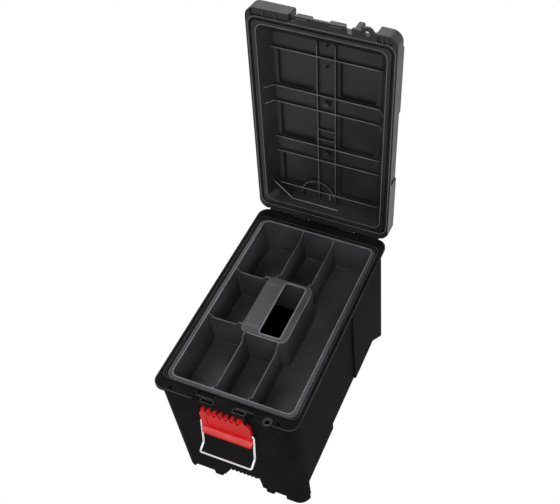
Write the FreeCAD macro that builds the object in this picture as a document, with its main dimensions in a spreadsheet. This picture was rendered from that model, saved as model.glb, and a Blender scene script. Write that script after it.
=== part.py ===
import FreeCAD, Part
import math
import os
import re

import Sketcher

# Latching toolbox with a lift-out organizer tray, lid shown fully open.
# Frame: +X across the box to the right, -Y the latch front, +Y the hinge rear, +Z up.
# The origin is on the floor, under the middle of the body. All lengths are millimetres.

Vector = FreeCAD.Vector

SIZES = {
    "body shell": {
        "rim_half_width": 127, "rim_half_length": 207, "rim_corner": 18, "rim_thick": 5,
        "rim_top": 286, "side_overhang": 4.5, "end_overhang": 5.5, "body_corner": 22, "wall": 3.5,
        "floor_thick": 3.5, "foot_height": 13, "undercut_depth": 18.5, "undercut_height": 62,
        "undercut_front": 20.5, "slope_back": 66.5, "slope_run": 58, "panel_step": 4,
        "panel_front": 70, "panel_rear": 43,
    },
    "feet and grip arch": {
        "corner_foot": 19.5, "wide_foot": 42, "foot_length": 20.5, "inner_foot_in": 46,
        "inner_foot_out": 64, "right_foot_in": 41, "right_foot_out": 58, "foot_round": 4,
        "centre_foot_half": 5, "centre_foot_half_length": 30,
        "arch_height": 47, "arch_depth": 36.5, "arch_top_half": 34, "arch_low_left": 46,
        "arch_low_right": 41, "arch_shoulder": 6,
    },
    "deck": {
        "pocket_side": 11, "pocket_end": 21.5, "pocket_depth": 7, "pocket_corner": 16,
        "ledge_side": 6, "ledge_front": 5.5, "ledge_rear": 2.5, "ledge_thick": 4,
        "ridge_side": 7.7, "ridge_end": 20, "ridge_wide": 2.5, "ridge_high": 1.5,
        "ridge_corner": 12, "tongue_margin": 0.2, "tongue_reach": 3, "notch_wide": 11,
        "notch_depth": 7, "slot_inner": 18, "slot_outer": 38, "slot_front": 1.5, "slot_back": 7,
        "step_inner": 21, "step_outer": 50, "step_front": 10, "step_back": 19.5, "step_deep": 3,
        "deck_hole_x": 95, "deck_hole_in": 7, "deck_hole_radius": 3, "corner_lobe_x": 106,
        "corner_lobe_in": 11, "corner_lobe_radius": 17, "lobe_drop": 12,
    },
    "padlock eyes": {
        "eye_x": 77, "eye_in": 5, "eye_radius": 4.5, "eyelet_barrel": 6.5, "eyelet_lip": 8,
        "lip_thick": 1, "eye_lobe": 11,
    },
    "hinge": {
        "hinge_inset": 0.5, "hinge_rise": 5.5, "knuckle_radius": 5, "rod_radius": 2.4,
        "fit": 0.05, "outer_knuckle_in": 87, "outer_knuckle_out": 107.5,
        "inner_knuckle_in": 31.5, "inner_knuckle_out": 59.5, "rod_end": 0.5,
        "stop_inner": 63, "stop_outer": 83, "stop_start": 1.2, "stop_end": 8.5,
        "stop_height": 2.2, "open_angle": 96.4,
    },
    "lid": {
        "lid_gap": 0.3, "lid_flange": 5, "lid_depth": 31, "lid_skin": 3, "lid_front_in": 1,
        "lid_rear_in": 4, "lid_setback": 20, "lid_hollow_side": 17, "lid_hollow_end": 28,
        "lid_hollow_corner": 14, "lid_side_slope": 16, "lid_front_slope": 24,
        "lid_rear_slope": 11, "lid_floor_corner": 8, "lid_panel_step": 2,
        "lid_panel_front": 59, "lid_panel_rear": 79, "fin_start": 5, "fin_proud": 1.8,
        "groove_wide": 4, "groove_deep": 3.5, "seal_thick": 2,
        "pad_rise": 6, "pad_inner": 20, "pad_outer": 90, "pad_wall": 3, "pad_corner": 5,
        "cleat_rise": 7, "cleat_inner": 30, "cleat_outer": 80, "cleat_in": 12,
        "rib_high": 5, "rib_thick": 2, "spine_x": 16, "arc_middle_x": 18, "arc_middle_y": 160,
        "arc_radius": 31, "bar_x": 5, "stub_front": 11, "stub_rear": 31, "nib_front": 150,
        "nib_rear": 112, "nib_radius": 2.5,
        "block_inner": 50, "block_right_inner": 90, "block_small_inner": 54,
        "block_small_outer": 65, "block_drop": 5.5, "block_corner": 3, "block_wall": 3,
        "block_room": 191,
        "ear_inner": 15, "ear_outer": 40, "ear_high": 5.5, "ear_thick": 3.5,
        "lug_drop": 3.5, "boss_radius": 6, "boss_high": 5,
    },
    "lid handle": {
        "handle_middle": 10, "bracket_half_gap": 43.5, "bracket_long": 16, "bracket_inner": 19.5,
        "bracket_outer": 4, "bracket_high": 12.5, "handle_pivot_x": 15, "handle_pivot_high": 7,
        "arm_thick": 8, "arm_wide": 10, "grip_x": 13, "grip_radius": 6, "core_radius": 3.5,
        "pin_radius": 2.5, "pin_bite": 12, "screw_radius": 2, "screw_head": 4.5,
        "screw_head_high": 2.5, "screw_bite": 8,
    },
    "latch": {
        "hub_radius": 5.5, "hub_core": 4, "latch_pin_drop": 18, "latch_pin_radius": 2,
        "lug_thick": 3, "lug_radius": 4.6, "lever_top_half": 38, "lever_face_out": 1.7,
        "lever_thick": 5.5, "lever_flare": 7.2, "lever_shoulder": 18, "lever_round": 11,
        "lever_long": 76, "lever_foot_in": 6.2, "lip_out": 6.5, "lip_high": 11, "lip_slope": 3,
        "lever_rise": 6, "face_recess": 1.2, "face_margin": 7, "tooth_gap": 5.4,
        "back_hollow": 2.2, "rib_gap": 8,
        "bail_radius": 2, "bail_in": 2.8, "bail_drop": 45, "bail_bite": 5, "bail_mouth": 2,
        "bail_corner": 7.5,
        "kink_out": 10.8, "kink_drop": 57.5, "elbow_out": 20.8, "elbow_drop": 63.2,
        "grip_out": 26.3, "grip_drop": 65.9,
    },
    "stack release": {
        "release_half": 32, "release_hang": 3, "release_high": 11, "release_lift": 4,
        "release_pin_radius": 1.5, "release_pin_in": 4, "tooth_depth": 2.5, "release_thick": 4,
        "release_front_skin": 3,
    },
    "organizer tray": {
        "tray_gap": 0.5, "tray_high": 80, "tray_wall": 2.5, "tray_corner": 13, "tray_below": 2,
        "tray_flange_gap": 1.5, "tray_flange": 2.5, "tray_skirt": 2, "divider": 2,
        "divider_rear_x": 30.5, "divider_front_x": 31.5, "divider_left_rear": 58.7,
        "divider_left_front": 46.7, "scoop_deep": 10, "scoop_slope": 9, "scoop_margin": 5,
        "hub_half_width": 43, "hub_half_length": 62, "hub_corner": 13, "hub_wall": 2.5,
        "hole_left": 9, "hole_right": 29, "hole_front": 54, "hole_rear": 57, "hole_corner": 5,
    },
    "general": {"run_gap": 0.3, "overrun": 1},
}

# Places worked out from the sizes above, each as a formula that any size or place may use.
PLACES = {
    "front": "-rim_half_length",
    "wall_x": "rim_half_width - side_overhang",
    "wall_y": "rim_half_length - end_overhang",
    "rim_low": "rim_top - rim_thick",
    "pocket_x": "rim_half_width - pocket_side",
    "pocket_y": "rim_half_length - pocket_end",
    "pocket_floor": "rim_top - pocket_depth",
    "ledge_low": "pocket_floor - ledge_thick",
    "opening_x": "pocket_x - ledge_side",
    "opening_front": "-(pocket_y - ledge_front)",
    "opening_rear": "pocket_y - ledge_rear",
    "panel_x": "wall_x - panel_step",
    "cavity_x": "panel_x - wall",
    "cavity_y": "wall_y - wall",
    "undercut_x": "wall_x - undercut_depth",
    "well_x": "undercut_x - wall",
    "floor_top": "foot_height + floor_thick",
    "shelf_top": "undercut_height + wall",
    "arch_back": "-wall_y + arch_depth",
    "release_low": "arch_height - release_hang",
    "ridge_x": "rim_half_width - ridge_side",
    "ridge_y": "rim_half_length - ridge_end",
    "hinge_y": "rim_half_length - hinge_inset",
    "hinge_z": "rim_top + hinge_rise",
    "eye_y": "front + eye_in",
    "lid_low": "rim_top + lid_gap",
    "flange_top": "lid_low + lid_flange",
    "lid_top": "lid_low + lid_depth",
    "skin_low": "lid_top - lid_skin",
    "block_top": "lid_top - block_drop",
    "pad_top": "lid_top + pad_rise",
    "cleat_top": "pad_top + cleat_rise",
    "lid_front": "front + lid_front_in",
    "lid_rear": "rim_half_length - lid_rear_in",
    "dome_front": "front + lid_setback",
    "hollow_x": "rim_half_width - lid_hollow_side",
    "hollow_y": "rim_half_length - lid_hollow_end",
    "floor_x": "hollow_x - lid_side_slope",
    "floor_front": "-hollow_y + lid_front_slope",
    "floor_rear": "hollow_y - lid_rear_slope",
    "pivot_x": "-handle_pivot_x",
    "pivot_z": "lid_top + handle_pivot_high",
    "tongue_half": "lever_top_half + run_gap + lug_thick + tongue_margin",
    "notch_outer": "tongue_half + notch_wide",
    "lever_half": "lever_top_half + lever_flare",
    "lever_foot_half": "lever_half - lever_foot_in",
    "latch_y": "-wall_y - hub_radius - run_gap",
    "latch_z": "rim_top - latch_pin_drop",
    "lever_face": "latch_y - lever_face_out",
    "lever_back": "lever_face + lever_thick",
    "lever_top": "latch_z - lever_rise",
    "lever_low": "latch_z - lever_long",
    "bail_y": "lever_face + bail_in",
    "bail_z": "latch_z - bail_drop",
    "bail_x": "lever_half + bail_radius + run_gap",
    "tray_top": "rim_top - tray_below",
    "tray_bottom": "tray_top - tray_high",
    "tray_floor": "tray_bottom + tray_wall",
    "tub_x": "opening_x - tray_gap",
    "tub_front": "opening_front + tray_gap",
    "tub_rear": "opening_rear - tray_gap",
}

# Rows of lid pads, front to rear: each pair is a row's two edges along the length.
PAD_ROWS = (("front_row", -129.5, -57.5), ("middle_row", -26.5, 47.5), ("rear_row", 78, 151.5))
TEETH = 7

FLAT = "XY_Plane"
FACING = "XZ_Plane"
SIDEWAYS = "YZ_Plane"

doc = FreeCAD.newDocument("Toolbox")
sheet = doc.addObject("Spreadsheet::Sheet", "Sizes")


def fill_sheet():
    """Write every named size to the sheet, one row each, with its alias."""
    values = {name: value for group in SIZES.values() for name, value in group.items()}
    for row, low, high in PAD_ROWS:
        values[row + "_low"] = low
        values[row + "_high"] = high
    for line, (name, value) in enumerate(values.items(), start=1):
        sheet.set(f"A{line}", name)
        sheet.set(f"B{line}", str(value))
        sheet.setAlias(f"B{line}", name)
    doc.recompute()
    return set(values)


NAMES = fill_sheet()


def bound(formula):
    """Turn a formula of size and place names into one of the sheet's cells."""
    def swap(match):
        word = match.group(0)
        if word in PLACES:
            return "(" + bound(PLACES[word]) + ")"
        return "Sizes." + word if word in NAMES else word
    return re.sub(r"[a-z][a-z_]*", swap, str(formula))


def measure(formula):
    """Give the number that a formula stands for."""
    return float(sheet.evalExpression(bound(formula)))


# Outlines, drawn on a sketch with every length bound to the sheet.

def place_point(sketch, kind, shape, point, formula):
    """Hold one end of a line or a circle's centre at a distance from the sketch's origin."""
    index = sketch.addConstraint(
        Sketcher.Constraint(kind, -1, 1, shape, point, measure(formula)))
    sketch.setExpression(f"Constraints[{index}]", bound(formula))


def loop(*points):
    """Closed outline of straight lines through the points."""
    def draw(sketch):
        spots = [Vector(measure(across), measure(up), 0) for across, up in points]
        ends = spots[1:] + spots[:1]
        lines = [sketch.addGeometry(Part.LineSegment(a, b), False) for a, b in zip(spots, ends)]
        for here, following in zip(lines, lines[1:] + lines[:1]):
            sketch.addConstraint(Sketcher.Constraint("Coincident", here, 2, following, 1))
        for line, (across, up) in zip(lines, points):
            place_point(sketch, "DistanceX", line, 1, across)
            place_point(sketch, "DistanceY", line, 1, up)
    return draw


def box(left, right, low, high):
    """Sharp-cornered rectangle."""
    return loop((left, low), (right, low), (right, high), (left, high))


def rounded(left, right, low, high, radius):
    """Rectangle with four equal round corners."""
    left, right = sorted((left, right), key=measure)
    low, high = sorted((low, high), key=measure)

    def draw(sketch):
        x0, x1, y0, y1, r = [measure(f) for f in (left, right, low, high, radius)]
        sides = [((x0 + r, y0), (x1 - r, y0)), ((x1, y0 + r), (x1, y1 - r)),
                 ((x1 - r, y1), (x0 + r, y1)), ((x0, y1 - r), (x0, y0 + r))]
        centres = [(x1 - r, y0 + r), (x1 - r, y1 - r), (x0 + r, y1 - r), (x0 + r, y0 + r)]
        lines = [sketch.addGeometry(Part.LineSegment(Vector(*a, 0), Vector(*b, 0)), False)
                 for a, b in sides]
        arcs = []
        for turn, centre in enumerate(centres):
            circle = Part.Circle(Vector(*centre, 0), Vector(0, 0, 1), r)
            start = (turn - 1) * math.pi / 2
            arcs.append(sketch.addGeometry(
                Part.ArcOfCircle(circle, start, start + math.pi / 2), False))
        for turn in range(4):
            following = lines[(turn + 1) % 4]
            level = "Horizontal" if turn % 2 == 0 else "Vertical"
            sketch.addConstraint(Sketcher.Constraint("Tangent", lines[turn], 2, arcs[turn], 1))
            sketch.addConstraint(Sketcher.Constraint("Tangent", arcs[turn], 2, following, 1))
            sketch.addConstraint(Sketcher.Constraint(level, lines[turn]))
        for arc in arcs[1:]:
            sketch.addConstraint(Sketcher.Constraint("Equal", arcs[0], arc))
        place_point(sketch, "DistanceY", lines[0], 1, low)
        place_point(sketch, "DistanceX", lines[1], 1, right)
        place_point(sketch, "DistanceY", lines[2], 1, high)
        place_point(sketch, "DistanceX", lines[3], 1, left)
        index = sketch.addConstraint(Sketcher.Constraint("Radius", arcs[0], r))
        sketch.setExpression(f"Constraints[{index}]", bound(radius))
    return draw


def centred(half_width, half_length, radius):
    """Rounded rectangle about the middle of the box."""
    return rounded(f"-({half_width})", half_width, f"-({half_length})", half_length, radius)


def circle(across, up, radius):
    """Full circle."""
    def draw(sketch):
        centre = Vector(measure(across), measure(up), 0)
        ring = sketch.addGeometry(Part.Circle(centre, Vector(0, 0, 1), measure(radius)), False)
        place_point(sketch, "DistanceX", ring, 3, across)
        place_point(sketch, "DistanceY", ring, 3, up)
        index = sketch.addConstraint(Sketcher.Constraint("Radius", ring, measure(radius)))
        sketch.setExpression(f"Constraints[{index}]", bound(radius))
    return draw


# Bodies and their features.

def new_body(label):
    """Empty body whose label names the sub-part."""
    body = doc.addObject("PartDesign::Body", label)
    body.Label = label
    return body


def new_sketch(body, name, plane, low, high, outlines):
    """Sketch on one of the body's own planes, at the end its feature grows from."""
    sketch = body.newObject("Sketcher::SketchObject", name + "Sketch")
    support = next(f for f in body.Origin.OriginFeatures if f.Role == plane)
    sketch.AttachmentSupport = [(support, "")]
    sketch.MapMode = "FlatFace"
    # The facing plane looks along -Y, so its features start at their far end.
    start = f"-({high})" if plane == FACING else low
    sketch.setExpression("AttachmentOffset.Base.z", bound(start))
    for draw in outlines:
        draw(sketch)
    return sketch


def pad(body, name, plane, low, high, *outlines):
    """Add the outlines' volume between two levels of the plane's own axis."""
    sketch = new_sketch(body, name, plane, low, high, outlines)
    feature = body.newObject("PartDesign::Pad", name)
    feature.Profile = sketch
    feature.setExpression("Length", bound(f"({high}) - ({low})"))
    doc.recompute()
    return feature


def pocket(body, name, plane, low, high, *outlines):
    """Cut the outlines' volume between two levels, and make sure that it cuts."""
    before = body.Shape.Volume
    sketch = new_sketch(body, name, plane, low, high, outlines)
    feature = body.newObject("PartDesign::Pocket", name)
    feature.Profile = sketch
    feature.Reversed = True
    feature.setExpression("Length", bound(f"({high}) - ({low})"))
    doc.recompute()
    if not body.Shape.Volume < before:
        raise RuntimeError(f"{body.Label} {name} cuts nothing")
    return feature


def across(body, feature):
    """Repeat a feature on the other side of the box's middle plane."""
    mirror = body.newObject("PartDesign::Mirrored", feature.Name + "Twin")
    mirror.Originals = [feature]
    support = next(f for f in body.Origin.OriginFeatures if f.Role == SIDEWAYS)
    mirror.MirrorPlane = (support, [""])
    body.Tip = mirror
    doc.recompute()
    return mirror


def swing_open(piece, shift="0", base_y="0", base_z="0"):
    """Place a piece that is drawn with the lid closed where the open lid carries it."""
    piece.Placement = FreeCAD.Placement(Vector(), FreeCAD.Rotation(Vector(-1, 0, 0), 90))
    turn = bound("open_angle") + " * 1 deg"
    back = bound(f"({base_y}) - (hinge_y)")
    rise = bound(f"({base_z}) - (hinge_z)")
    piece.setExpression("Placement.Rotation.Angle", turn)
    piece.setExpression("Placement.Base.x", bound(shift))
    piece.setExpression(
        "Placement.Base.y", f"{bound('hinge_y')} + ({back}) * cos({turn}) + ({rise}) * sin({turn})")
    piece.setExpression(
        "Placement.Base.z", f"{bound('hinge_z')} - ({back}) * sin({turn}) + ({rise}) * cos({turn})")


# The body: walls, feet, front arch, deck and hinge knuckles.

def add_walls(body):
    """Outer block, flange, tongue and the hanging lobes of the deck."""
    pad(body, "Block", FLAT, "foot_height", "rim_low", centred("wall_x", "wall_y", "body_corner"))
    pad(body, "Flange", FLAT, "rim_low", "rim_top",
        centred("rim_half_width", "rim_half_length", "rim_corner"))
    pad(body, "Tongue", FLAT, "rim_low", "rim_top",
        box("-tongue_half", "tongue_half", "front - tongue_reach", "-wall_y + wall"))
    pad(body, "EyeLobe", FLAT, "rim_top - lobe_drop", "rim_top", circle("eye_x", "eye_y", "eye_lobe"))
    pad(body, "CornerLobe", FLAT, "rim_top - lobe_drop", "rim_top",
        circle("corner_lobe_x", "front + corner_lobe_in", "corner_lobe_radius"))


def add_feet(body):
    """Corner feet, the feet beside the grip arch, front and rear, and the centre foot."""
    rows = (("Front", "-wall_y", "-wall_y + foot_length"), ("Rear", "wall_y - foot_length", "wall_y"))
    for row, low, high in rows:
        pad(body, row + "Feet", FLAT, "0", "foot_height",
            rounded("-wall_x", "-wall_x + corner_foot", low, high, "foot_round"),
            rounded("-inner_foot_out", "-inner_foot_in", low, high, "foot_round"),
            rounded("right_foot_in", "right_foot_out", low, high, "foot_round"),
            rounded("wall_x - wide_foot", "wall_x", low, high, "foot_round"))
    pocket(body, "FootCorners", FLAT, "-overrun", "foot_height",
           centred("rim_half_width", "rim_half_length", "rim_corner"),
           centred("wall_x", "wall_y", "body_corner"))
    pad(body, "CentreFoot", FLAT, "0", "foot_height + overrun",
        rounded("-centre_foot_half", "centre_foot_half", "-centre_foot_half_length",
                "centre_foot_half_length", "foot_round"))


def cut_sides(body):
    """Undercut along the lower sides and the recessed middle panels."""
    undercut = pocket(
        body, "Undercut", SIDEWAYS, "undercut_x", "wall_x + overrun",
        loop(("-wall_y + undercut_front", "-overrun"),
             ("-wall_y + undercut_front", "undercut_height"),
             ("wall_y - slope_back", "undercut_height"),
             ("wall_y - slope_back + slope_run", "undercut_height - slope_run"),
             ("wall_y - slope_back + slope_run", "-overrun")))
    across(body, undercut)
    panel = pocket(body, "SidePanel", SIDEWAYS, "panel_x", "wall_x + overrun",
                   box("-panel_front", "panel_rear", "undercut_height - overrun", "rim_low"))
    across(body, panel)


def cut_deck(body):
    """Tray pocket, ledge opening, slots, notches and holes of the deck."""
    pocket(body, "TrayPocket", FLAT, "pocket_floor", "rim_top + overrun",
           centred("pocket_x", "pocket_y", "pocket_corner"))
    pocket(body, "LedgeOpening", FLAT, "ledge_low - overrun", "pocket_floor + overrun",
           rounded("-opening_x", "opening_x", "opening_front", "opening_rear",
                   "pocket_corner - ledge_rear"))
    steps = []
    for side in (1, -1):
        steps.append(box(f"{side} * step_inner", f"{side} * step_outer",
                         "front + step_front", "front + step_back"))
    pocket(body, "Steps", FLAT, "rim_top - step_deep", "rim_top + overrun", *steps)
    gaps = []
    for side in (1, -1):
        gaps.append(box(f"{side} * slot_inner", f"{side} * slot_outer",
                        "front + slot_front", "front + slot_back"))
        gaps.append(box(f"{side} * tongue_half", f"{side} * notch_outer",
                        "front - tongue_reach - overrun", "front + notch_depth"))
        gaps.append(circle(f"{side} * deck_hole_x", "front + deck_hole_in", "deck_hole_radius"))
    pocket(body, "DeckGaps", FLAT, "rim_low", "rim_top + overrun", *gaps)
    pocket(body, "EyeBore", FLAT, "rim_top - lobe_drop - overrun", "rim_top + overrun",
           circle("eye_x", "eye_y", "eyelet_barrel"))
    pocket(body, "EyeSeat", FLAT, "rim_top - lip_thick", "rim_top + overrun",
           circle("eye_x", "eye_y", "eyelet_lip"))


def cut_inside(body):
    """Main cavity, stepped in above the side undercuts and round the front arch."""
    pocket(body, "Cavity", FLAT, "shelf_top", "ledge_low",
           centred("cavity_x", "cavity_y", "body_corner - wall"))
    pocket(body, "Well", FLAT, "floor_top", "shelf_top + overrun",
           loop(("-well_x", "-cavity_y"), ("-arch_low_left - wall", "-cavity_y"),
                ("-arch_low_left - wall", "arch_back + wall"),
                ("arch_low_right + wall", "arch_back + wall"),
                ("arch_low_right + wall", "-cavity_y"), ("well_x", "-cavity_y"),
                ("well_x", "cavity_y"), ("-well_x", "cavity_y")))


def cut_arch(body):
    """Grip arch in the foot of the front wall and the housing of the stack release."""
    pocket(body, "Arch", FACING, "-wall_y - overrun", "arch_back",
           loop(("-arch_low_left", "-overrun"), ("-arch_low_left", "0"),
                ("-arch_top_half + 2 * arch_shoulder", "arch_height"),
                ("arch_top_half", "arch_height"), ("arch_top_half + arch_shoulder / 2", "foot_height"),
                ("arch_low_right", "0"), ("arch_low_right", "-overrun")))
    pocket(body, "ReleaseHousing", FLAT, "arch_height - overrun",
           "arch_height + release_high + release_lift",
           box("-release_half - run_gap * 2", "release_half + run_gap * 2",
               "-wall_y + release_front_skin", "arch_back"))
    pocket(body, "ReleaseBore", SIDEWAYS, "-release_half - wall", "release_half + wall",
           circle("arch_back - release_pin_in", "arch_height + release_high / 2",
                  "release_pin_radius + fit"))


def add_ridge(body):
    """Raised sealing ridge round the deck, broken at the front steps."""
    half = "ridge_wide / 2"
    pad(body, "Ridge", FLAT, "rim_top", "rim_top + ridge_high",
        centred(f"ridge_x + {half}", f"ridge_y + {half}", f"ridge_corner + {half}"),
        centred(f"ridge_x - {half}", f"ridge_y - {half}", f"ridge_corner - {half}"))
    gaps = [box(f"{side} * step_inner", f"{side} * step_outer",
                f"-ridge_y - {half} - overrun", f"-ridge_y + {half} + overrun")
            for side in (1, -1)]
    pocket(body, "RidgeGaps", FLAT, "rim_top", "rim_top + ridge_high + overrun", *gaps)


def add_hinge_seats(body):
    """Outer knuckles, their bores and the stops that the open lid leans on."""
    base = "hinge_y - knuckle_radius"
    tail = "hinge_y + knuckle_radius"
    for name, draw in (("KnuckleWeb", box(base, tail, "rim_low", "hinge_z")),
                       ("Knuckle", circle("hinge_y", "hinge_z", "knuckle_radius"))):
        feature = pad(body, name, SIDEWAYS, "outer_knuckle_in", "outer_knuckle_out", draw)
        across(body, feature)
    stop = pad(body, "LidStop", SIDEWAYS, "stop_inner", "stop_outer",
               loop(("wall_y - wall", "rim_low"), ("hinge_y + stop_end", "rim_low"),
                    ("hinge_y + stop_end", "hinge_z + stop_height"),
                    ("hinge_y + stop_start", "hinge_z + stop_height"),
                    ("hinge_y + stop_start", "rim_top"), ("wall_y - wall", "rim_top")))
    across(body, stop)
    pocket(body, "RodBore", SIDEWAYS, "-outer_knuckle_out - overrun", "outer_knuckle_out + overrun",
           circle("hinge_y", "hinge_z", "rod_radius + fit"))


def add_latch_lugs(body):
    """Two lugs under the tongue that hold the latch pin."""
    inner = "lever_top_half + run_gap"
    outer = "lever_top_half + run_gap + lug_thick"
    for name, draw in (
            ("LugWeb", box("latch_y - lug_radius", "latch_y + lug_radius", "latch_z", "rim_low")),
            ("Lug", circle("latch_y", "latch_z", "lug_radius"))):
        feature = pad(body, name, SIDEWAYS, inner, outer, draw)
        across(body, feature)
    pocket(body, "LatchBore", SIDEWAYS, f"-({outer}) - overrun", f"({outer}) + overrun",
           circle("latch_y", "latch_z", "latch_pin_radius + fit"))


def make_body_shell():
    """Moulded body of the box."""
    body = new_body("body_shell")
    add_walls(body)
    add_feet(body)
    cut_sides(body)
    cut_deck(body)
    cut_inside(body)
    cut_arch(body)
    add_ridge(body)
    add_hinge_seats(body)
    add_latch_lugs(body)
    return body


def make_rod(label, radius, half_length, y, z):
    """Steel rod along X, centred on the box's middle plane."""
    rod = doc.addObject("Part::Cylinder", label)
    rod.Label = label
    rod.setExpression("Radius", bound(radius))
    rod.setExpression("Height", bound(f"2 * ({half_length})"))
    rod.Placement = FreeCAD.Placement(Vector(), FreeCAD.Rotation(Vector(0, 1, 0), 90))
    rod.setExpression("Placement.Base.x", bound(f"-({half_length})"))
    rod.setExpression("Placement.Base.y", bound(y))
    rod.setExpression("Placement.Base.z", bound(z))
    return rod


def make_eyelet(label, low, high, lip_low, lip_high):
    """Steel eyelet of a padlock hole: a barrel with a flat lip, turned about its own axis."""
    body = new_body(label)
    if measure(lip_low) > measure(low):
        profile = loop(("eye_radius", low), ("eyelet_barrel - run_gap", low),
                       ("eyelet_barrel - run_gap", lip_low), ("eyelet_lip - run_gap", lip_low),
                       ("eyelet_lip - run_gap", lip_high), ("eye_radius", lip_high))
    else:
        profile = loop(("eye_radius", lip_low), ("eyelet_lip - run_gap", lip_low),
                       ("eyelet_lip - run_gap", lip_high), ("eyelet_barrel - run_gap", lip_high),
                       ("eyelet_barrel - run_gap", high), ("eye_radius", high))
    sketch = new_sketch(body, "Profile", FACING, "0", "0", [profile])
    turned = body.newObject("PartDesign::Revolution", "Turned")
    turned.Profile = sketch
    turned.ReferenceAxis = (sketch, ["V_Axis"])
    turned.Angle = 360
    doc.recompute()
    return body


# The stack release under the front arch.

def make_stack_release():
    """Sprung finger plate that lets the box off the one below it."""
    body = new_body("stack_release_lever")
    front = "-wall_y + release_front_skin + run_gap * 3"
    top = "arch_height + release_high"
    pin_y = "arch_back - release_pin_in"
    pin_z = "arch_height + release_high / 2"
    pad(body, "Plate", SIDEWAYS, "-release_half", "release_half",
        loop((front, "release_low"), (f"{front} + release_thick", "release_low"),
             (f"{front} + release_thick", "arch_height + release_thick"),
             (pin_y, "arch_height + release_thick"), (pin_y, f"{top} - release_thick / 2"),
             (front, f"{top} - release_thick / 2")))
    pad(body, "Hub", SIDEWAYS, "-release_half", "release_half",
        circle(pin_y, pin_z, "release_pin_in - run_gap"))
    pitch = f"(2 * release_half / {TEETH + 1})"
    grooves = [box(f"-release_half + {count} * {pitch} - tooth_depth / 2",
                   f"-release_half + {count} * {pitch} + tooth_depth / 2",
                   f"{front} - overrun", f"{front} + release_thick + overrun")
               for count in range(1, TEETH + 1)]
    pocket(body, "Grip", FLAT, "release_low - overrun", "arch_height", *grooves)
    pocket(body, "HangTrim", FLAT, "release_low - overrun", "arch_height",
           box("-release_half - overrun", "-arch_top_half + 2 * arch_shoulder + run_gap",
               f"{front} - overrun", f"{front} + release_thick + overrun"))
    pocket(body, "Bore", SIDEWAYS, "-release_half - overrun", "release_half + overrun",
           circle(pin_y, pin_z, "release_pin_radius + fit"))
    make_rod("stack_release_pin", "release_pin_radius", "release_half + wall", pin_y, pin_z)


# The lid and what it carries, drawn closed and then swung open about the hinge.

def add_lid_form(body):
    """Flange, dome, front blocks, catch ears and the pads and cleats of the top."""
    half = "rim_half_width"
    pad(body, "Flange", FLAT, "lid_low", "flange_top",
        rounded(f"-{half}", half, "lid_front", "lid_rear", "rim_corner"))
    pad(body, "EyeLobe", FLAT, "lid_low", "flange_top", circle("eye_x", "eye_y", "eye_lobe"))
    pad(body, "Dome", FLAT, "flange_top", "lid_top",
        rounded(f"-{half}", half, "dome_front", "lid_rear", "lid_hollow_corner"))
    for name, left, right in (("Left", "-block_inner", f"-{half}"),
                              ("Right", "block_right_inner", half)):
        pad(body, name + "Block", FLAT, "flange_top", "block_top",
            rounded(left, right, "lid_front", "dome_front + rim_corner * 2", "rim_corner"))
        toward = "-1" if name == "Left" else "1"
        pad(body, name + "BlockEnd", FLAT, "flange_top", "block_top",
            rounded(left, f"{left} + {toward} * rim_corner", "lid_front",
                    "dome_front + rim_corner", "block_corner"))
    pad(body, "SmallBlock", FLAT, "flange_top", "block_top",
        rounded("block_small_inner", "block_small_outer", "lid_front", "dome_front + rim_corner",
                "block_corner"))
    pads = []
    cleats = []
    for row, _, _ in PAD_ROWS:
        for side in (1, -1):
            pads.append(rounded(f"{side} * pad_inner", f"{side} * pad_outer",
                                f"{row}_low", f"{row}_high", "pad_corner + pad_wall"))
            cleats.append(rounded(f"{side} * cleat_inner", f"{side} * cleat_outer",
                                  f"{row}_low + cleat_in", f"{row}_high - cleat_in", "pad_corner"))
    pad(body, "Pads", FLAT, "lid_top", "pad_top", *pads)
    pad(body, "Cleats", FLAT, "pad_top", "cleat_top", *cleats)
    ears = [box(f"{side} * ear_inner", f"{side} * ear_outer", "lid_front", "lid_front + ear_thick")
            for side in (1, -1)]
    pad(body, "Ears", FLAT, "flange_top", "flange_top + ear_high", *ears)


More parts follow.
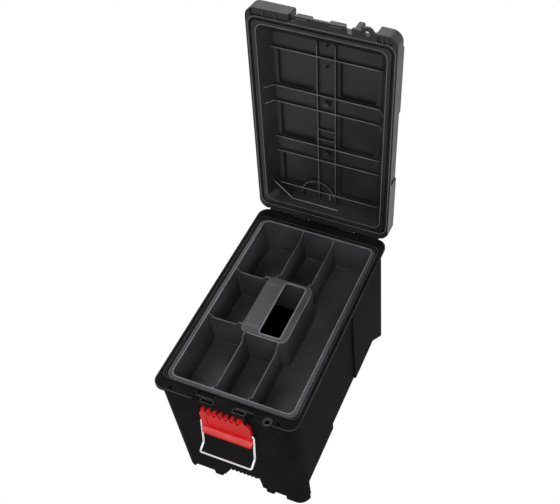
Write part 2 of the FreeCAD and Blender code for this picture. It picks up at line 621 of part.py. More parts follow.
def cut_lid(body):
    """Hollow, seal groove, pad recesses, bail notches and hinge clearances of the lid."""
    cut_hollow(body)
    panel = pocket(body, "SidePanel", SIDEWAYS, f"rim_half_width - lid_panel_step",
                   "rim_half_width + overrun",
                   box("-lid_panel_front", "lid_panel_rear", "flange_top", "lid_top + overrun"))
    across(body, panel)
    room = (("-block_inner - block_wall", "-rim_half_width + rim_corner / 2"),
            ("block_right_inner + block_wall", "rim_half_width - rim_corner / 2"))
    pocket(body, "BlockRoom", FLAT, "lid_low - overrun", "block_top - block_wall",
           *[rounded(near, far, "lid_front + block_wall", "-block_room", "block_corner")
             for near, far in room])
    recesses = []
    for row, _, _ in PAD_ROWS:
        for side in (1, -1):
            recesses.append(rounded(
                f"{side} * (pad_inner + pad_wall)", f"{side} * (pad_outer - pad_wall)",
                f"{row}_low + pad_wall", f"{row}_high - pad_wall", "pad_corner"))
    pocket(body, "PadRecess", FLAT, "skin_low - overrun", "pad_top - lid_skin", *recesses)
    half = "groove_wide / 2"
    pocket(body, "SealGroove", FLAT, "lid_low - overrun", "lid_low + groove_deep",
           centred(f"ridge_x + {half}", f"ridge_y + {half}", f"ridge_corner + {half}"),
           centred(f"ridge_x - {half}", f"ridge_y - {half}", f"ridge_corner - {half}"))
    notches = [box(f"{side} * (tongue_half + overrun)", f"{side} * notch_outer",
                   "lid_front - overrun", "lid_front + notch_depth + release_front_skin")
               for side in (1, -1)]
    pocket(body, "BailNotches", FLAT, "lid_low - overrun", "flange_top + overrun", *notches)
    clear = "knuckle_radius + run_gap * 2"
    rear = [box(f"{side} * (outer_knuckle_in - overrun)", f"{side} * (outer_knuckle_out + overrun)",
                f"hinge_y - ({clear})", "lid_rear + overrun") for side in (1, -1)]
    pocket(body, "KnuckleRoom", FLAT, "lid_low - overrun", f"hinge_z + {clear}", *rear)
    pocket(body, "EyeBore", FLAT, "lid_low - overrun", "flange_top + overrun",
           circle("eye_x", "eye_y", "eyelet_barrel"))
    pocket(body, "EyeSeat", FLAT, "lid_low - overrun", "lid_low + lip_thick",
           circle("eye_x", "eye_y", "eyelet_lip"))


def cut_hollow(body):
    """Hollow of the lid, its walls sloping in from the rim to the floor."""
    mouth = new_sketch(body, "HollowMouth", FLAT, "lid_low - overrun", "lid_low",
                       [centred("hollow_x", "hollow_y", "lid_hollow_corner")])
    floor = new_sketch(body, "HollowFloor", FLAT, "skin_low", "skin_low",
                       [rounded("-floor_x", "floor_x", "floor_front", "floor_rear",
                                "lid_floor_corner")])
    before = body.Shape.Volume
    hollow = body.newObject("PartDesign::SubtractiveLoft", "Hollow")
    hollow.Profile = mouth
    hollow.Sections = [floor]
    hollow.Ruled = True
    doc.recompute()
    if not body.Shape.Volume < before:
        raise RuntimeError("the lid's hollow cuts nothing")


def add_lid_ribs(body):
    """Stiffening ribs, wall fins, screw bosses and nibs inside the top."""
    low = "skin_low - rib_high"
    edges = [f"{row}_{edge}" for row, _, _ in PAD_ROWS for edge in ("low", "high")]
    ribs = [box("-hollow_x - overrun", "hollow_x + overrun",
                f"{edge} - rib_thick / 2", f"{edge} + rib_thick / 2") for edge in edges]
    pad(body, "CrossRibs", FLAT, low, "skin_low + overrun", *ribs)
    uprights = [("-spine_x", "floor_front", "floor_rear"), ("spine_x", "floor_front", "floor_rear"),
                ("bar_x", "rear_row_high", "floor_rear")]
    spines = [box(f"{place} - rib_thick / 2", f"{place} + rib_thick / 2",
                  f"{front} - overrun", f"{rear} + overrun") for place, front, rear in uprights]
    for number, spine in enumerate(spines, start=1):
        pad(body, f"Spine{number}", FLAT, low, "skin_low + overrun", spine)
    stubs = [box("-spine_x", "spine_x", f"{place} - rib_thick / 2", f"{place} + rib_thick / 2")
             for place in ("stub_front", "stub_rear")]
    pad(body, "Stubs", FLAT, low, "skin_low + overrun", *stubs)
    pad(body, "Arc", FLAT, low, "skin_low + overrun",
        circle("-arc_middle_x", "arc_middle_y", "arc_radius + rib_thick / 2"),
        circle("-arc_middle_x", "arc_middle_y", "arc_radius - rib_thick / 2"))
    nibs = [circle("0", f"-{place}", "nib_radius") for place in ("nib_front", "nib_rear")]
    pad(body, "Nibs", FLAT, "skin_low - boss_high", "skin_low + overrun", *nibs)
    slope = "(lid_side_slope / (skin_low - lid_low))"
    start = "lid_low + fin_start"
    fin = loop(("hollow_x + overrun", start), (f"hollow_x - fin_start * {slope}", start),
               (f"floor_x + rib_high * {slope} - fin_proud", low),
               ("floor_x - fin_proud", "skin_low"), ("hollow_x + overrun", "skin_low"))
    for name, place in (("FrontFin", "front_row_high"), ("MiddleFin", "middle_row_low")):
        feature = pad(body, name, FACING, f"{place} - rib_thick / 2", f"{place} + rib_thick / 2",
                      fin)
        across(body, feature)
    bosses = [circle("0", place, "boss_radius") for place in screw_places()]
    pad(body, "Bosses", FLAT, "skin_low - boss_high", "skin_low + overrun", *bosses)
    bores = [circle("0", place, "screw_radius + run_gap") for place in screw_places()]
    pocket(body, "ScrewBores", FLAT, "skin_low - boss_high - overrun", "lid_top + overrun", *bores)


def add_lid_hinge(body):
    """Inner knuckles with their webs, locating lugs and the rod's bore."""
    web = box("lid_rear - wall", "hinge_y", "hinge_z - knuckle_radius", "hinge_z + knuckle_radius")
    eye = circle("hinge_y", "hinge_z", "knuckle_radius")
    for name, draw in (("KnuckleWeb", web), ("Knuckle", eye)):
        feature = pad(body, name, SIDEWAYS, "inner_knuckle_in", "inner_knuckle_out", draw)
        across(body, feature)
    pocket(body, "RodBore", SIDEWAYS, "-inner_knuckle_out - overrun", "inner_knuckle_out + overrun",
           circle("hinge_y", "hinge_z", "rod_radius + fit"))
    lugs = [box(f"{side} * (slot_inner + overrun)", f"{side} * (slot_outer - overrun)",
                "front + slot_front + overrun", "front + slot_back - overrun") for side in (1, -1)]
    pad(body, "Lugs", FLAT, "lid_low - lug_drop", "lid_low + overrun", *lugs)


def screw_places():
    """Where the two handle screws stand along the lid."""
    middle = "handle_middle"
    reach = "bracket_half_gap + bracket_long / 2"
    return [f"{middle} - ({reach})", f"{middle} + {reach}"]


def make_lid():
    """Moulded lid, its seal and its padlock eyelet."""
    body = new_body("lid_shell")
    add_lid_form(body)
    cut_lid(body)
    add_lid_ribs(body)
    add_lid_hinge(body)
    swing_open(body)
    seal = new_body("lid_seal")
    half = "(groove_wide / 2 - run_gap)"
    pad(seal, "Ring", FLAT, "lid_low + groove_deep - seal_thick", "lid_low + groove_deep",
        centred(f"ridge_x + {half}", f"ridge_y + {half}", f"ridge_corner + {half}"),
        centred(f"ridge_x - {half}", f"ridge_y - {half}", f"ridge_corner - {half}"))
    swing_open(seal)
    eyelet = make_eyelet("padlock_eyelet_lid", "lid_low", "flange_top", "lid_low",
                         "lid_low + lip_thick")
    swing_open(eyelet, "eye_x", "eye_y", "0")


def make_handle():
    """Folding handle with its brackets, pins, screws and grip sleeve."""
    gap = "bracket_half_gap"
    for place, sign in (("front", -1), ("rear", 1)):
        near = f"handle_middle + {sign} * {gap}"
        far = f"handle_middle + {sign} * ({gap} + bracket_long)"
        low, high = sorted((near, far), key=measure)
        bracket = new_body("handle_bracket_" + place)
        pad(bracket, "Block", FLAT, "lid_top", "lid_top + bracket_high",
            rounded("-bracket_inner", "bracket_outer", low, high, "foot_round"))
        middle = f"handle_middle + {sign} * ({gap} + bracket_long / 2)"
        pocket(bracket, "ScrewHole", FLAT, "lid_top - overrun", "lid_top + screw_bite",
               circle("0", middle, "screw_radius + fit"))
        pin_low = f"handle_middle + {sign} * ({gap} + bracket_long - pin_bite)"
        pin_high = f"handle_middle + {sign} * ({gap} + bracket_long + run_gap + arm_thick)"
        pin_low, pin_high = sorted((pin_low, pin_high), key=measure)
        pocket(bracket, "PinHole", FACING, pin_low, f"({pin_high})",
               circle("pivot_x", "pivot_z", "pin_radius + fit"))
        swing_open(bracket)
        pin = new_body("handle_pin_" + place)
        pad(pin, "Pin", FACING, pin_low, pin_high, circle("pivot_x", "pivot_z", "pin_radius"))
        swing_open(pin)
        screw = new_body("handle_screw_" + place)
        seat = "skin_low - boss_high"
        pad(screw, "Shank", FLAT, seat, "lid_top + screw_bite - overrun",
            circle("0", middle, "screw_radius"))
        pad(screw, "Head", FLAT, f"{seat} - screw_head_high", seat,
            circle("0", middle, "screw_head"))
        swing_open(screw)
    make_grip_bar()


def make_grip_bar():
    """The swinging handle itself, with a round core under a separate grip sleeve."""
    inner = "bracket_half_gap + bracket_long + run_gap"
    outer = f"{inner} + arm_thick"
    body = new_body("carry_handle")
    for sign, name in ((-1, "FrontArm"), (1, "RearArm")):
        low, high = sorted((f"handle_middle + {sign} * ({inner})",
                            f"handle_middle + {sign} * ({outer})"), key=measure)
        pad(body, name, FACING, low, high,
            rounded("pivot_x - arm_wide / 2", "grip_x + grip_radius", "pivot_z - arm_wide / 2",
                    "pivot_z + arm_wide / 2", "arm_wide / 2 - run_gap"))
    pad(body, "Core", FACING, f"handle_middle - ({inner}) - overrun",
        f"handle_middle + {inner} + overrun", circle("grip_x", "pivot_z", "core_radius"))
    pocket(body, "PinBores", FACING, f"handle_middle - ({outer}) - overrun",
           f"handle_middle + {outer} + overrun", circle("pivot_x", "pivot_z", "pin_radius + fit"))
    swing_open(body)
    grip = new_body("handle_grip")
    pad(grip, "Sleeve", FACING, f"handle_middle - ({inner})", f"handle_middle + {inner}",
        circle("grip_x", "pivot_z", "grip_radius"),
        circle("grip_x", "pivot_z", "core_radius + fit"))
    swing_open(grip)


# The latch: a red lever on its pin, and the wire bail that hooks the lid.

def make_lever():
    """Latch lever: comb hub, plate, lip, face recess and ribbed back."""
    body = new_body("latch_lever")
    pad(body, "Profile", SIDEWAYS, "-lever_half", "lever_half",
        loop(("lever_back", "lever_top"), ("lever_face", "lever_top"),
             ("lever_face", "lever_low + lip_high + lip_slope"),
             ("lever_face - lip_out", "lever_low + lip_high"),
             ("lever_face - lip_out", "lever_low + lip_slope"),
             ("lever_face - lip_out + lip_slope", "lever_low"), ("lever_back", "lever_low")))
    outline = [("lever_top_half", "lever_top + overrun"), ("lever_top_half", "lever_top"),
               ("lever_half", "latch_z - lever_shoulder")]
    outline += [(f"lever_half - lever_round * (1 - cos({turn} deg))",
                 f"lever_low + lever_round * (1 - sin({turn} deg))")
                for turn in range(0, 91, 15)]
    outline.append(("lever_half - lever_round", "lever_low - overrun"))
    for name, sign in (("RightTrim", 1), ("LeftTrim", -1)):
        edge = [(f"{sign} * {out}", up) for out, up in outline]
        limit = f"{sign} * (lever_half + overrun)"
        pocket(body, name, FACING, "lever_face - lip_out - overrun", "lever_back + overrun",
               loop(*edge, (limit, "lever_low - overrun"), (limit, "lever_top + overrun")))
    pad(body, "HubCore", SIDEWAYS, "-lever_top_half", "lever_top_half",
        circle("latch_y", "latch_z", "hub_core"))
    pad(body, "HubWeb", SIDEWAYS, "-lever_top_half", "lever_top_half",
        box("latch_y - face_recess", "latch_y + hub_core", "lever_top - overrun", "latch_z"))
    pitch = f"((2 * lever_top_half - tooth_gap / 2) / {TEETH})"
    for count in range(TEETH):
        left = f"-lever_top_half + tooth_gap / 4 + {count} * {pitch}"
        right = f"{left} + {pitch} - tooth_gap"
        pad(body, f"Tooth{count}", SIDEWAYS, left, right,
            circle("latch_y", "latch_z", "hub_radius"))
        pad(body, f"ToothFoot{count}", SIDEWAYS, left, right,
            box("lever_face", "latch_y", "lever_top - overrun", "latch_z"))
    pocket(body, "PinBore", SIDEWAYS, "-lever_half", "lever_half",
           circle("latch_y", "latch_z", "latch_pin_radius + fit"))
    pocket(body, "Face", FACING, "lever_face - overrun", "lever_face + face_recess",
           rounded("-lever_foot_half + face_margin / 2", "lever_foot_half - face_margin / 2",
                   "lever_low + lip_high + lip_slope + face_margin", "lever_top - face_margin",
                   "face_margin"))
    hollow_pitch = "((2 * lever_foot_half - rib_gap) / 4)"
    hollows = [box(f"-lever_foot_half + rib_gap + {count} * {hollow_pitch}",
                   f"-lever_foot_half + (1 + {count}) * {hollow_pitch}",
                   "lever_low + face_margin", "bail_z - face_margin") for count in range(4)]
    pocket(body, "BackHollows", FACING, "lever_back - back_hollow", "lever_back + overrun",
           *hollows)
    for name, inner, radius in (
            ("BailBore", "bail_x - bail_radius - bail_bite", "bail_radius + fit"),
            ("BailMouth", "lever_half - bail_mouth", "bail_radius + 2 * run_gap")):
        bore = pocket(body, name, SIDEWAYS, inner, "bail_x", circle("bail_y", "bail_z", radius))
        across(body, bore)


def bail_route():
    """Corner points of the bail wire, from one pivot end to the other, with its bend radii."""
    arm = measure("bail_x")
    inner = measure("bail_x - bail_radius - bail_bite")
    spots = [("0", "0"), ("kink_out", "kink_drop"), ("elbow_out", "elbow_drop"),
             ("grip_out", "grip_drop")]
    side = [(measure(f"bail_y - {out}"), measure(f"bail_z - {drop}")) for out, drop in spots]
    right = [Vector(inner, *side[0])] + [Vector(arm, *spot) for spot in side]
    left = [Vector(-point.x, point.y, point.z) for point in reversed(right)]
    tight = measure("bail_radius * 1.5")
    wide = measure("bail_corner")
    radii = [tight, wide, wide / 2, wide / 2]
    return right + left, radii + radii[::-1]


def bent_wire(points, radii):
    """Path of straight runs with a tangent arc of the given radius at each inner point."""
    edges = []
    start = points[0]
    for before, corner, after, radius in zip(points, points[1:], points[2:], radii):
        inward = (before - corner).normalize()
        outward = (after - corner).normalize()
        half = inward.getAngle(outward) / 2
        trim = min(radius / math.tan(half), 0.45 * (before - corner).Length,
                   0.45 * (after - corner).Length)
        radius = trim * math.tan(half)
        middle = (inward + outward).normalize()
        apex = corner + middle * (radius / math.sin(half) - radius)
        first = corner + inward * trim
        last = corner + outward * trim
        edges.append(Part.makeLine(start, first))
        edges.append(Part.Arc(first, apex, last).toShape())
        start = last
    edges.append(Part.makeLine(start, points[-1]))
    return Part.Wire(edges)


def make_bail():
    """Steel wire bail, one bent rod."""
    points, radii = bail_route()
    path = bent_wire(points, radii)
    ring = Part.makeCircle(measure("bail_radius"), points[0], points[1] - points[0])
    wire = doc.addObject("Part::Feature", "latch_bail")
    wire.Label = "latch_bail"
    wire.Shape = path.makePipeShell([Part.Wire([ring])], True, False)
    expected = math.pi * measure("bail_radius") ** 2 * path.Length
    print(f"bail volume {wire.Shape.Volume:.1f} of {expected:.1f}")


# The organizer tray that hangs on the ledge.

def make_tray():
    """Lift-out tray: rim, tub, dividers and the hollow hub with its hand hole."""
    body = new_body("organizer_tray")
    reach_x = "pocket_x - tray_flange_gap"
    reach_y = "pocket_y - tray_flange_gap"
    seat = "pocket_floor + run_gap"
    pad(body, "Tub", FLAT, "tray_bottom", "tray_top",
        rounded("-tub_x", "tub_x", "tub_front", "tub_rear", "tray_corner"))
    pad(body, "Rim", FLAT, "tray_top - tray_flange", "tray_top",
        centred(reach_x, reach_y, "pocket_corner - tray_flange_gap"))
    pad(body, "RimSkirt", FLAT, seat, "tray_top",
        centred(reach_x, reach_y, "pocket_corner - tray_flange_gap"),
        centred(f"{reach_x} - tray_skirt", f"{reach_y} - tray_skirt / 2",
                "pocket_corner - tray_flange_gap - tray_skirt"))
    pocket(body, "Inside", FLAT, "tray_floor", "tray_top + overrun",
           rounded("-tub_x + tray_wall", "tub_x - tray_wall", "tub_front + tray_wall",
                   "tub_rear - tray_wall", "tray_corner - tray_wall"))
    add_dividers(body)
    pad(body, "Hub", FLAT, "tray_bottom", "tray_top",
        centred("hub_half_width", "hub_half_length", "hub_corner"))
    pocket(body, "HubHollow", FLAT, "tray_bottom - overrun", "tray_top - hub_wall",
           centred("hub_half_width - hub_wall", "hub_half_length - hub_wall",
                   "hub_corner - hub_wall"))
    pocket(body, "HandHole", FLAT, "tray_top - hub_wall - overrun", "tray_top + overrun",
           rounded("-hole_left", "hole_right", "-hole_front", "hole_rear", "hole_corner"))
    return body


def add_dividers(body):
    """Thin walls between the compartments, their tops scooped down between the ends."""
    rear_end = "tub_rear - tray_wall / 2"
    front_end = "tub_front + tray_wall / 2"
    half = "divider / 2"
    walls = []
    for side in (1, -1):
        rear = f"{side} * divider_rear_x"
        front = f"{side} * divider_front_x"
        walls.append(box(f"{rear} - {half}", f"{rear} + {half}", "hub_half_length - hub_wall",
                         rear_end))
        walls.append(box(f"{front} - {half}", f"{front} + {half}", front_end,
                         "-hub_half_length + hub_wall"))
    for place in ("divider_left_rear", "-divider_left_front"):
        walls.append(box("-tub_x + tray_wall / 2", "-hub_half_width + hub_wall",
                         f"{place} - {half}", f"{place} + {half}"))
    pad(body, "Dividers", FLAT, "tray_floor - tray_wall / 2", "tray_top", *walls)
    spans = (("RearScoop", SIDEWAYS, "hub_half_length + scoop_margin", "tub_rear - tray_wall",
              "-divider_front_x - divider", "divider_front_x + divider"),
             ("FrontScoop", SIDEWAYS, "tub_front + tray_wall + scoop_margin / 2",
              "-hub_half_length - scoop_margin",
              "-divider_front_x - divider", "divider_front_x + divider"),
             ("LeftScoop", FACING, "-tub_x + tray_wall", "-hub_half_width - scoop_margin",
              "-divider_left_front - divider", "divider_left_rear + divider"))
    for name, plane, first, last, low, high in spans:
        level = "tray_top - scoop_deep"
        pocket(body, name, plane, low, high,
               loop((first, "tray_top + overrun"), (f"{first} + scoop_slope", level),
                    (f"{last} - scoop_slope", level), (last, "tray_top + overrun")))


def make_parts():
    """Build every sub-part and give them in the order of their labels."""
    make_body_shell()
    make_rod("hinge_rod", "rod_radius", "outer_knuckle_out + rod_end", "hinge_y", "hinge_z")
    make_rod("latch_pin", "latch_pin_radius", "lever_top_half + run_gap + lug_thick",
             "latch_y", "latch_z")
    eyelet = make_eyelet("padlock_eyelet_body", "rim_low - rim_thick", "rim_top",
                         "rim_top - lip_thick", "rim_top")
    eyelet.setExpression("Placement.Base.x", bound("eye_x"))
    eyelet.setExpression("Placement.Base.y", bound("eye_y"))
    make_stack_release()
    make_lid()
    make_handle()
    make_lever()
    make_bail()
    make_tray()
    doc.recompute()
    kinds = ("PartDesign::Body", "Part::Cylinder", "Part::Feature")
    return sorted((o for o in doc.Objects if o.TypeId in kinds), key=lambda o: o.Label)


def check_and_export(parts):
    """Refuse a failed feature or an unsound solid, then write one file for each sub-part."""
    for thing in doc.Objects:
        if "Invalid" in thing.State or "Error" in thing.State:
            raise RuntimeError(f"{thing.Label} failed: {thing.State}")
    for part in parts:
        shape = part.Shape
        if shape.isNull() or not shape.isValid() or len(shape.Solids) != 1:
            raise RuntimeError(f"{part.Label} is not one sound solid")
    os.makedirs("parts", exist_ok=True)
    for part in parts:
        part.Shape.exportStep(f"parts/{part.Label}.step")
        size = part.Shape.BoundBox
        print(f"{part.Label}: {size.XLength:.1f} x {size.YLength:.1f} x {size.ZLength:.1f}")


check_and_export(make_parts())
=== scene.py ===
"""Visual model of a tall latching toolbox that stands open with its organizer tray in place.

Frame: metres, +X across the box to the right, -Y the latch front, +Z up, origin on the floor.
"""

import logging
import math
from dataclasses import dataclass
from enum import Enum
from typing import Iterable, Iterator, Sequence

import bmesh
import bpy
import numpy as np
from mathutils import Matrix, Vector


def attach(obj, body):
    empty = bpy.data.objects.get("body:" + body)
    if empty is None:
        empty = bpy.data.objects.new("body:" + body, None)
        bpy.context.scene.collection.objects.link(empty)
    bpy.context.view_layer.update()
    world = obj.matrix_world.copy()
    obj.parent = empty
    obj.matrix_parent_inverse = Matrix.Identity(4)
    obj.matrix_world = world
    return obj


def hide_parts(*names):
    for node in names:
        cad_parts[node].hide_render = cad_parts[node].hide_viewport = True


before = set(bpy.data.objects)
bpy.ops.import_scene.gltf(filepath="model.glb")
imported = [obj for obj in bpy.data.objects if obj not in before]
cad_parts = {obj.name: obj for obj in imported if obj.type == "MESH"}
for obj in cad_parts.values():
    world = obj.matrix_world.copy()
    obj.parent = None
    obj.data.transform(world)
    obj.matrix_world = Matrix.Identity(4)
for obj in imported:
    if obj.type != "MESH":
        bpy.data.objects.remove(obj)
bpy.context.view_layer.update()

log = logging.getLogger("toolbox")

MM = 0.001
PHOTO_WIDTH = 560
PHOTO_HEIGHT = 504
# Face attribute that paints edges and faces pale: wear, and painted highlight.
WEAR_AND_HIGHLIGHT = "wear_and_highlight"
SMALLEST_CORNER = 0.05
SHARP_ANGLE = math.radians(32)
FLAT_ANGLE = math.radians(0.6)
SAME_POINT = 1e-7
SAME_CORNER = 2e-6
FACING_SHARE = 0.7
TURN_POINTS = 9
EDGE_POINTS = 4
PLATE_POINTS = 5


class Edge(Enum):
    """How far an edge or a face is painted pale, as wear and as painted highlight."""

    NONE = 0.0
    DULL = 0.15
    SOFT = 0.35
    LIT = 0.7
    RUBBED_AND_LIT = 1.0
    BRIGHT = 1.6


# Finishes

@dataclass(frozen=True)
class Finish:
    """A moulded, plated or rubber surface with grain, tone variation, and edges painted pale as wear
    and as highlight.

    Lengths are in metres, tones are linear colours, and bands are ranges of a noise.
    """

    name: str
    tone: tuple[float, float, float]
    # Pale tone of marked edges and faces: wear, and painted highlight.
    wear_and_highlight: tuple[float, float, float]
    roughness: float
    grain: float = 0.0006
    bump: float = 0.12
    metallic: float = 0.0
    specular: float = 0.5
    patch: float = 0.06
    variation: float = 0.25
    # Strength of the pale marks: wear, and painted highlight.
    edge: float = 0.6
    streak: float = 0.0
    roughness_spread: float = 0.07
    roughness_limits: tuple[float, float] = (0.05, 1.0)
    grain_depth: float = 0.3
    scuff_scale: tuple[float, float, float] = (40, 40, 900)
    patch_detail: int = 3
    fine_detail: int = 2
    patch_band: tuple[float, float] = (0.3, 0.7)
    scratch_band: tuple[float, float] = (0.62, 0.75)
    # Noise bands that make the pale marks patchy.
    pale_mark_band: tuple[float, float] = (0.25, 0.7)
    least_pale_mark: float = 0.35

    def material(self) -> bpy.types.Material:
        """Build the node material.

        Returns:
            The material, made once for each finish.
        """
        title = self.name + "_finish"
        known = bpy.data.materials.get(title)
        if known:
            return known
        made = bpy.data.materials.new(title)
        made.use_nodes = True
        nodes = made.node_tree.nodes
        nodes.clear()
        output = nodes.new("ShaderNodeOutputMaterial")
        shader = nodes.new("ShaderNodeBsdfPrincipled")
        made.node_tree.links.new(shader.outputs["BSDF"], output.inputs["Surface"])
        shader.inputs["Metallic"].default_value = self.metallic
        shader.inputs["Specular IOR Level"].default_value = self.specular
        place = nodes.new("ShaderNodeTexCoord").outputs["Object"]
        weave = Weave(made)
        broad = weave.noise(place, 1 / self.patch, self.patch_detail)
        fine = weave.noise(place, 1 / self.grain, self.fine_detail)
        scuffs = weave.noise(weave.stretch(place, self.scuff_scale), 1, self.fine_detail)
        self._colour(weave, shader, broad, scuffs)
        self._roughness(weave, shader, broad, scuffs)
        bump = nodes.new("ShaderNodeBump")
        bump.inputs["Strength"].default_value = self.bump
        bump.inputs["Distance"].default_value = self.grain * self.grain_depth
        weave.join(fine, bump.inputs["Height"])
        weave.join(bump.outputs["Normal"], shader.inputs["Normal"])
        return made

    def _colour(self, weave: "Weave", shader: bpy.types.Node, broad: object,
                scuffs: object) -> None:
        """Tone the surface in broad patches and lighten its marked edges and faces, as wear and as
        painted highlight.

        Args:
            weave: Node helper of the material.
            shader: Surface shader to colour.
            broad: Socket of the slow variation.
            scuffs: Socket of the fine scratches.
        """
        dark = tuple(channel * (1 - self.variation) for channel in self.tone)
        light = tuple(min(1.0, channel * (1 + self.variation)) for channel in self.tone)
        base = weave.ramp(broad, zip(self.patch_band, (dark, light)))
        patchy = weave.span(scuffs, *self.pale_mark_band, self.least_pale_mark, 1.0)
        # Painted highlight and wear: marked faces are mixed towards the pale tone.
        pale_mark = weave.math("MULTIPLY", weave.attribute(WEAR_AND_HIGHLIGHT), patchy)
        pale_mark = weave.math("MULTIPLY", pale_mark, self.edge)
        weave.join(weave.mix(pale_mark, base, self.wear_and_highlight), shader.inputs["Base Color"])

    def _roughness(self, weave: "Weave", shader: bpy.types.Node, broad: object,
                   scuffs: object) -> None:
        """Vary the roughness with the patches and the scratches.

        Args:
            weave: Node helper of the material.
            shader: Surface shader to set.
            broad: Socket of the slow variation.
            scuffs: Socket of the fine scratches.
        """
        low = max(self.roughness_limits[0], self.roughness - self.roughness_spread)
        high = min(self.roughness_limits[1], self.roughness + self.roughness_spread)
        rough = weave.span(broad, *self.patch_band, low, high)
        scratch = weave.span(scuffs, *self.scratch_band, 0.0, self.streak)
        weave.join(weave.math("SUBTRACT", rough, scratch), shader.inputs["Roughness"])


class Weave:
    """Small helper that adds and joins the nodes of one material."""

    def __init__(self, material: bpy.types.Material) -> None:
        """Keep the material's node tree."""
        self.tree = material.node_tree

    def join(self, source: object, target: object) -> None:
        """Link an output socket to an input socket."""
        self.tree.links.new(source, target)

    def feed(self, value: object, target: object) -> None:
        """Link a socket, or set a plain value, on an input.

        Args:
            value: Output socket, number or colour.
            target: Input socket.
        """
        if isinstance(value, (int, float)):
            target.default_value = value
        elif isinstance(value, tuple):
            target.default_value = (*value, 1.0) if len(value) == 3 else value
        else:
            self.join(value, target)

    def noise(self, place: object, scale: float, detail: float) -> object:
        """Noise factor socket at a scale per metre.

        Args:
            place: Coordinate socket.
            scale: Size of the noise per metre.
            detail: Octaves of the noise.

        Returns:
            The factor's socket.
        """
        node = self.tree.nodes.new("ShaderNodeTexNoise")
        node.inputs["Scale"].default_value = scale
        node.inputs["Detail"].default_value = detail
        self.join(place, node.inputs["Vector"])
        return node.outputs["Fac"]

    def stretch(self, place: object, scale: Sequence[float]) -> object:
        """Coordinates scaled differently along each axis.

        Args:
            place: Coordinate socket.
            scale: Factor along each axis.

        Returns:
            The scaled coordinates' socket.
        """
        node = self.tree.nodes.new("ShaderNodeMapping")
        node.inputs["Scale"].default_value = scale
        self.join(place, node.inputs["Vector"])
        return node.outputs["Vector"]

    def ramp(self, factor: object, stops: Iterable[tuple[float, tuple]]) -> object:
        """Colour ramp through the stops.

        Args:
            factor: Socket that runs from zero to one.
            stops: Place and tone of each stop, two at most.

        Returns:
            The colour's socket.
        """
        node = self.tree.nodes.new("ShaderNodeValToRGB")
        elements = node.color_ramp.elements
        for element, (place, tone) in zip(elements, stops):
            element.position = place
            element.color = (*tone, 1.0)
        self.join(factor, node.inputs["Fac"])
        return node.outputs["Color"]

    def span(self, value: object, low: float, high: float, start: float, end: float) -> object:
        """Map a range of a value to another range, held at its ends.

        Args:
            value: Socket of the value.
            low: Start of its range.
            high: End of its range.
            start: What the start becomes.
            end: What the end becomes.

        Returns:
            The mapped value's socket.
        """
        node = self.tree.nodes.new("ShaderNodeMapRange")
        for name, number in (("From Min", low), ("From Max", high), ("To Min", start),
                             ("To Max", end)):
            node.inputs[name].default_value = number
        self.join(value, node.inputs["Value"])
        return node.outputs["Result"]

    def math(self, kind: str, first: object, second: object) -> object:
        """Sum, product or other two-value operation.

        Args:
            kind: Name of the operation.
            first: First socket or number.
            second: Second socket or number.

        Returns:
            The result's socket.
        """
        node = self.tree.nodes.new("ShaderNodeMath")
        node.operation = kind
        self.feed(first, node.inputs[0])
        self.feed(second, node.inputs[1])
        return node.outputs["Value"]

    def mix(self, factor: object, first: object, second: object) -> object:
        """Blend of two colours.

        Args:
            factor: Share of the second colour.
            first: First socket or colour.
            second: Second socket or colour.

        Returns:
            The blended colour's socket.
        """
        node = self.tree.nodes.new("ShaderNodeMix")
        node.data_type = "RGBA"
        self.feed(factor, node.inputs["Factor"])
        self.feed(first, node.inputs["A"])
        self.feed(second, node.inputs["B"])
        return node.outputs[2]

    def attribute(self, name: str) -> object:
        """Value of a mesh attribute, zero where the mesh has none."""
        node = self.tree.nodes.new("ShaderNodeAttribute")
        node.attribute_name = name
        return node.outputs["Fac"]


# The second tone of each finish is the pale of its marked edges and faces: wear, and painted
# highlight.
BODY_PLASTIC = Finish("body_plastic", (0.0095, 0.0095, 0.0098), (0.2, 0.2, 0.202), 0.5,
                      specular=0.002, bump=0.2, edge=0.7)
LID_PLASTIC = Finish("lid_plastic", (0.017, 0.0168, 0.018), (0.34, 0.34, 0.35), 0.4,
                     specular=0.25, bump=0.12, edge=0.7)
TRAY_PLASTIC = Finish("tray_plastic", (0.056, 0.057, 0.063), (0.46, 0.46, 0.47), 0.42,
                      specular=0.15, bump=0.12, edge=0.75)
RED_PLASTIC = Finish("red_plastic", (0.6, 0.012, 0.013), (0.98, 0.2, 0.2), 0.34, bump=0.06,
                     specular=0.04, variation=0.08, edge=0.8)
PLATED_STEEL = Finish("plated_steel", (0.72, 0.72, 0.74), (0.9, 0.9, 0.92), 0.22, metallic=1.0,
                      bump=0.03, variation=0.06, streak=0.08)
DARK_STEEL = Finish("dark_steel", (0.05, 0.05, 0.052), (0.22, 0.22, 0.22), 0.34, metallic=0.8,
                    bump=0.05, variation=0.1, streak=0.06)
SEAL_RUBBER = Finish("seal_rubber", (0.012, 0.012, 0.0125), (0.05, 0.05, 0.05), 0.6, bump=0.08,
                     specular=0.1)
GRIP_RUBBER = Finish("grip_rubber", (0.010, 0.010, 0.0105), (0.05, 0.05, 0.05), 0.65, bump=0.3,
                     specular=0.1)
HINGE_STEEL = Finish("hinge_steel", (0.018, 0.018, 0.019), (0.2, 0.2, 0.2), 0.4, bump=0.05,
                     specular=0.1, streak=0.06)
# Painted shade: near-black plates stand in for the shade of small recesses in the deck's rim.
SHADOW_PLASTIC = Finish("shadow_plastic", (0.004, 0.004, 0.004), (0.02, 0.02, 0.02), 0.7,
                        bump=0.1, specular=0.0)

# What the fine pieces of a moulding share with it: finish, body and material slot.
OF_BODY = (BODY_PLASTIC, "body", "black_plastic")
OF_LID = (LID_PLASTIC, "lid", "black_plastic")
OF_TRAY = (TRAY_PLASTIC, "tray", "tray_plastic")


# Meshes

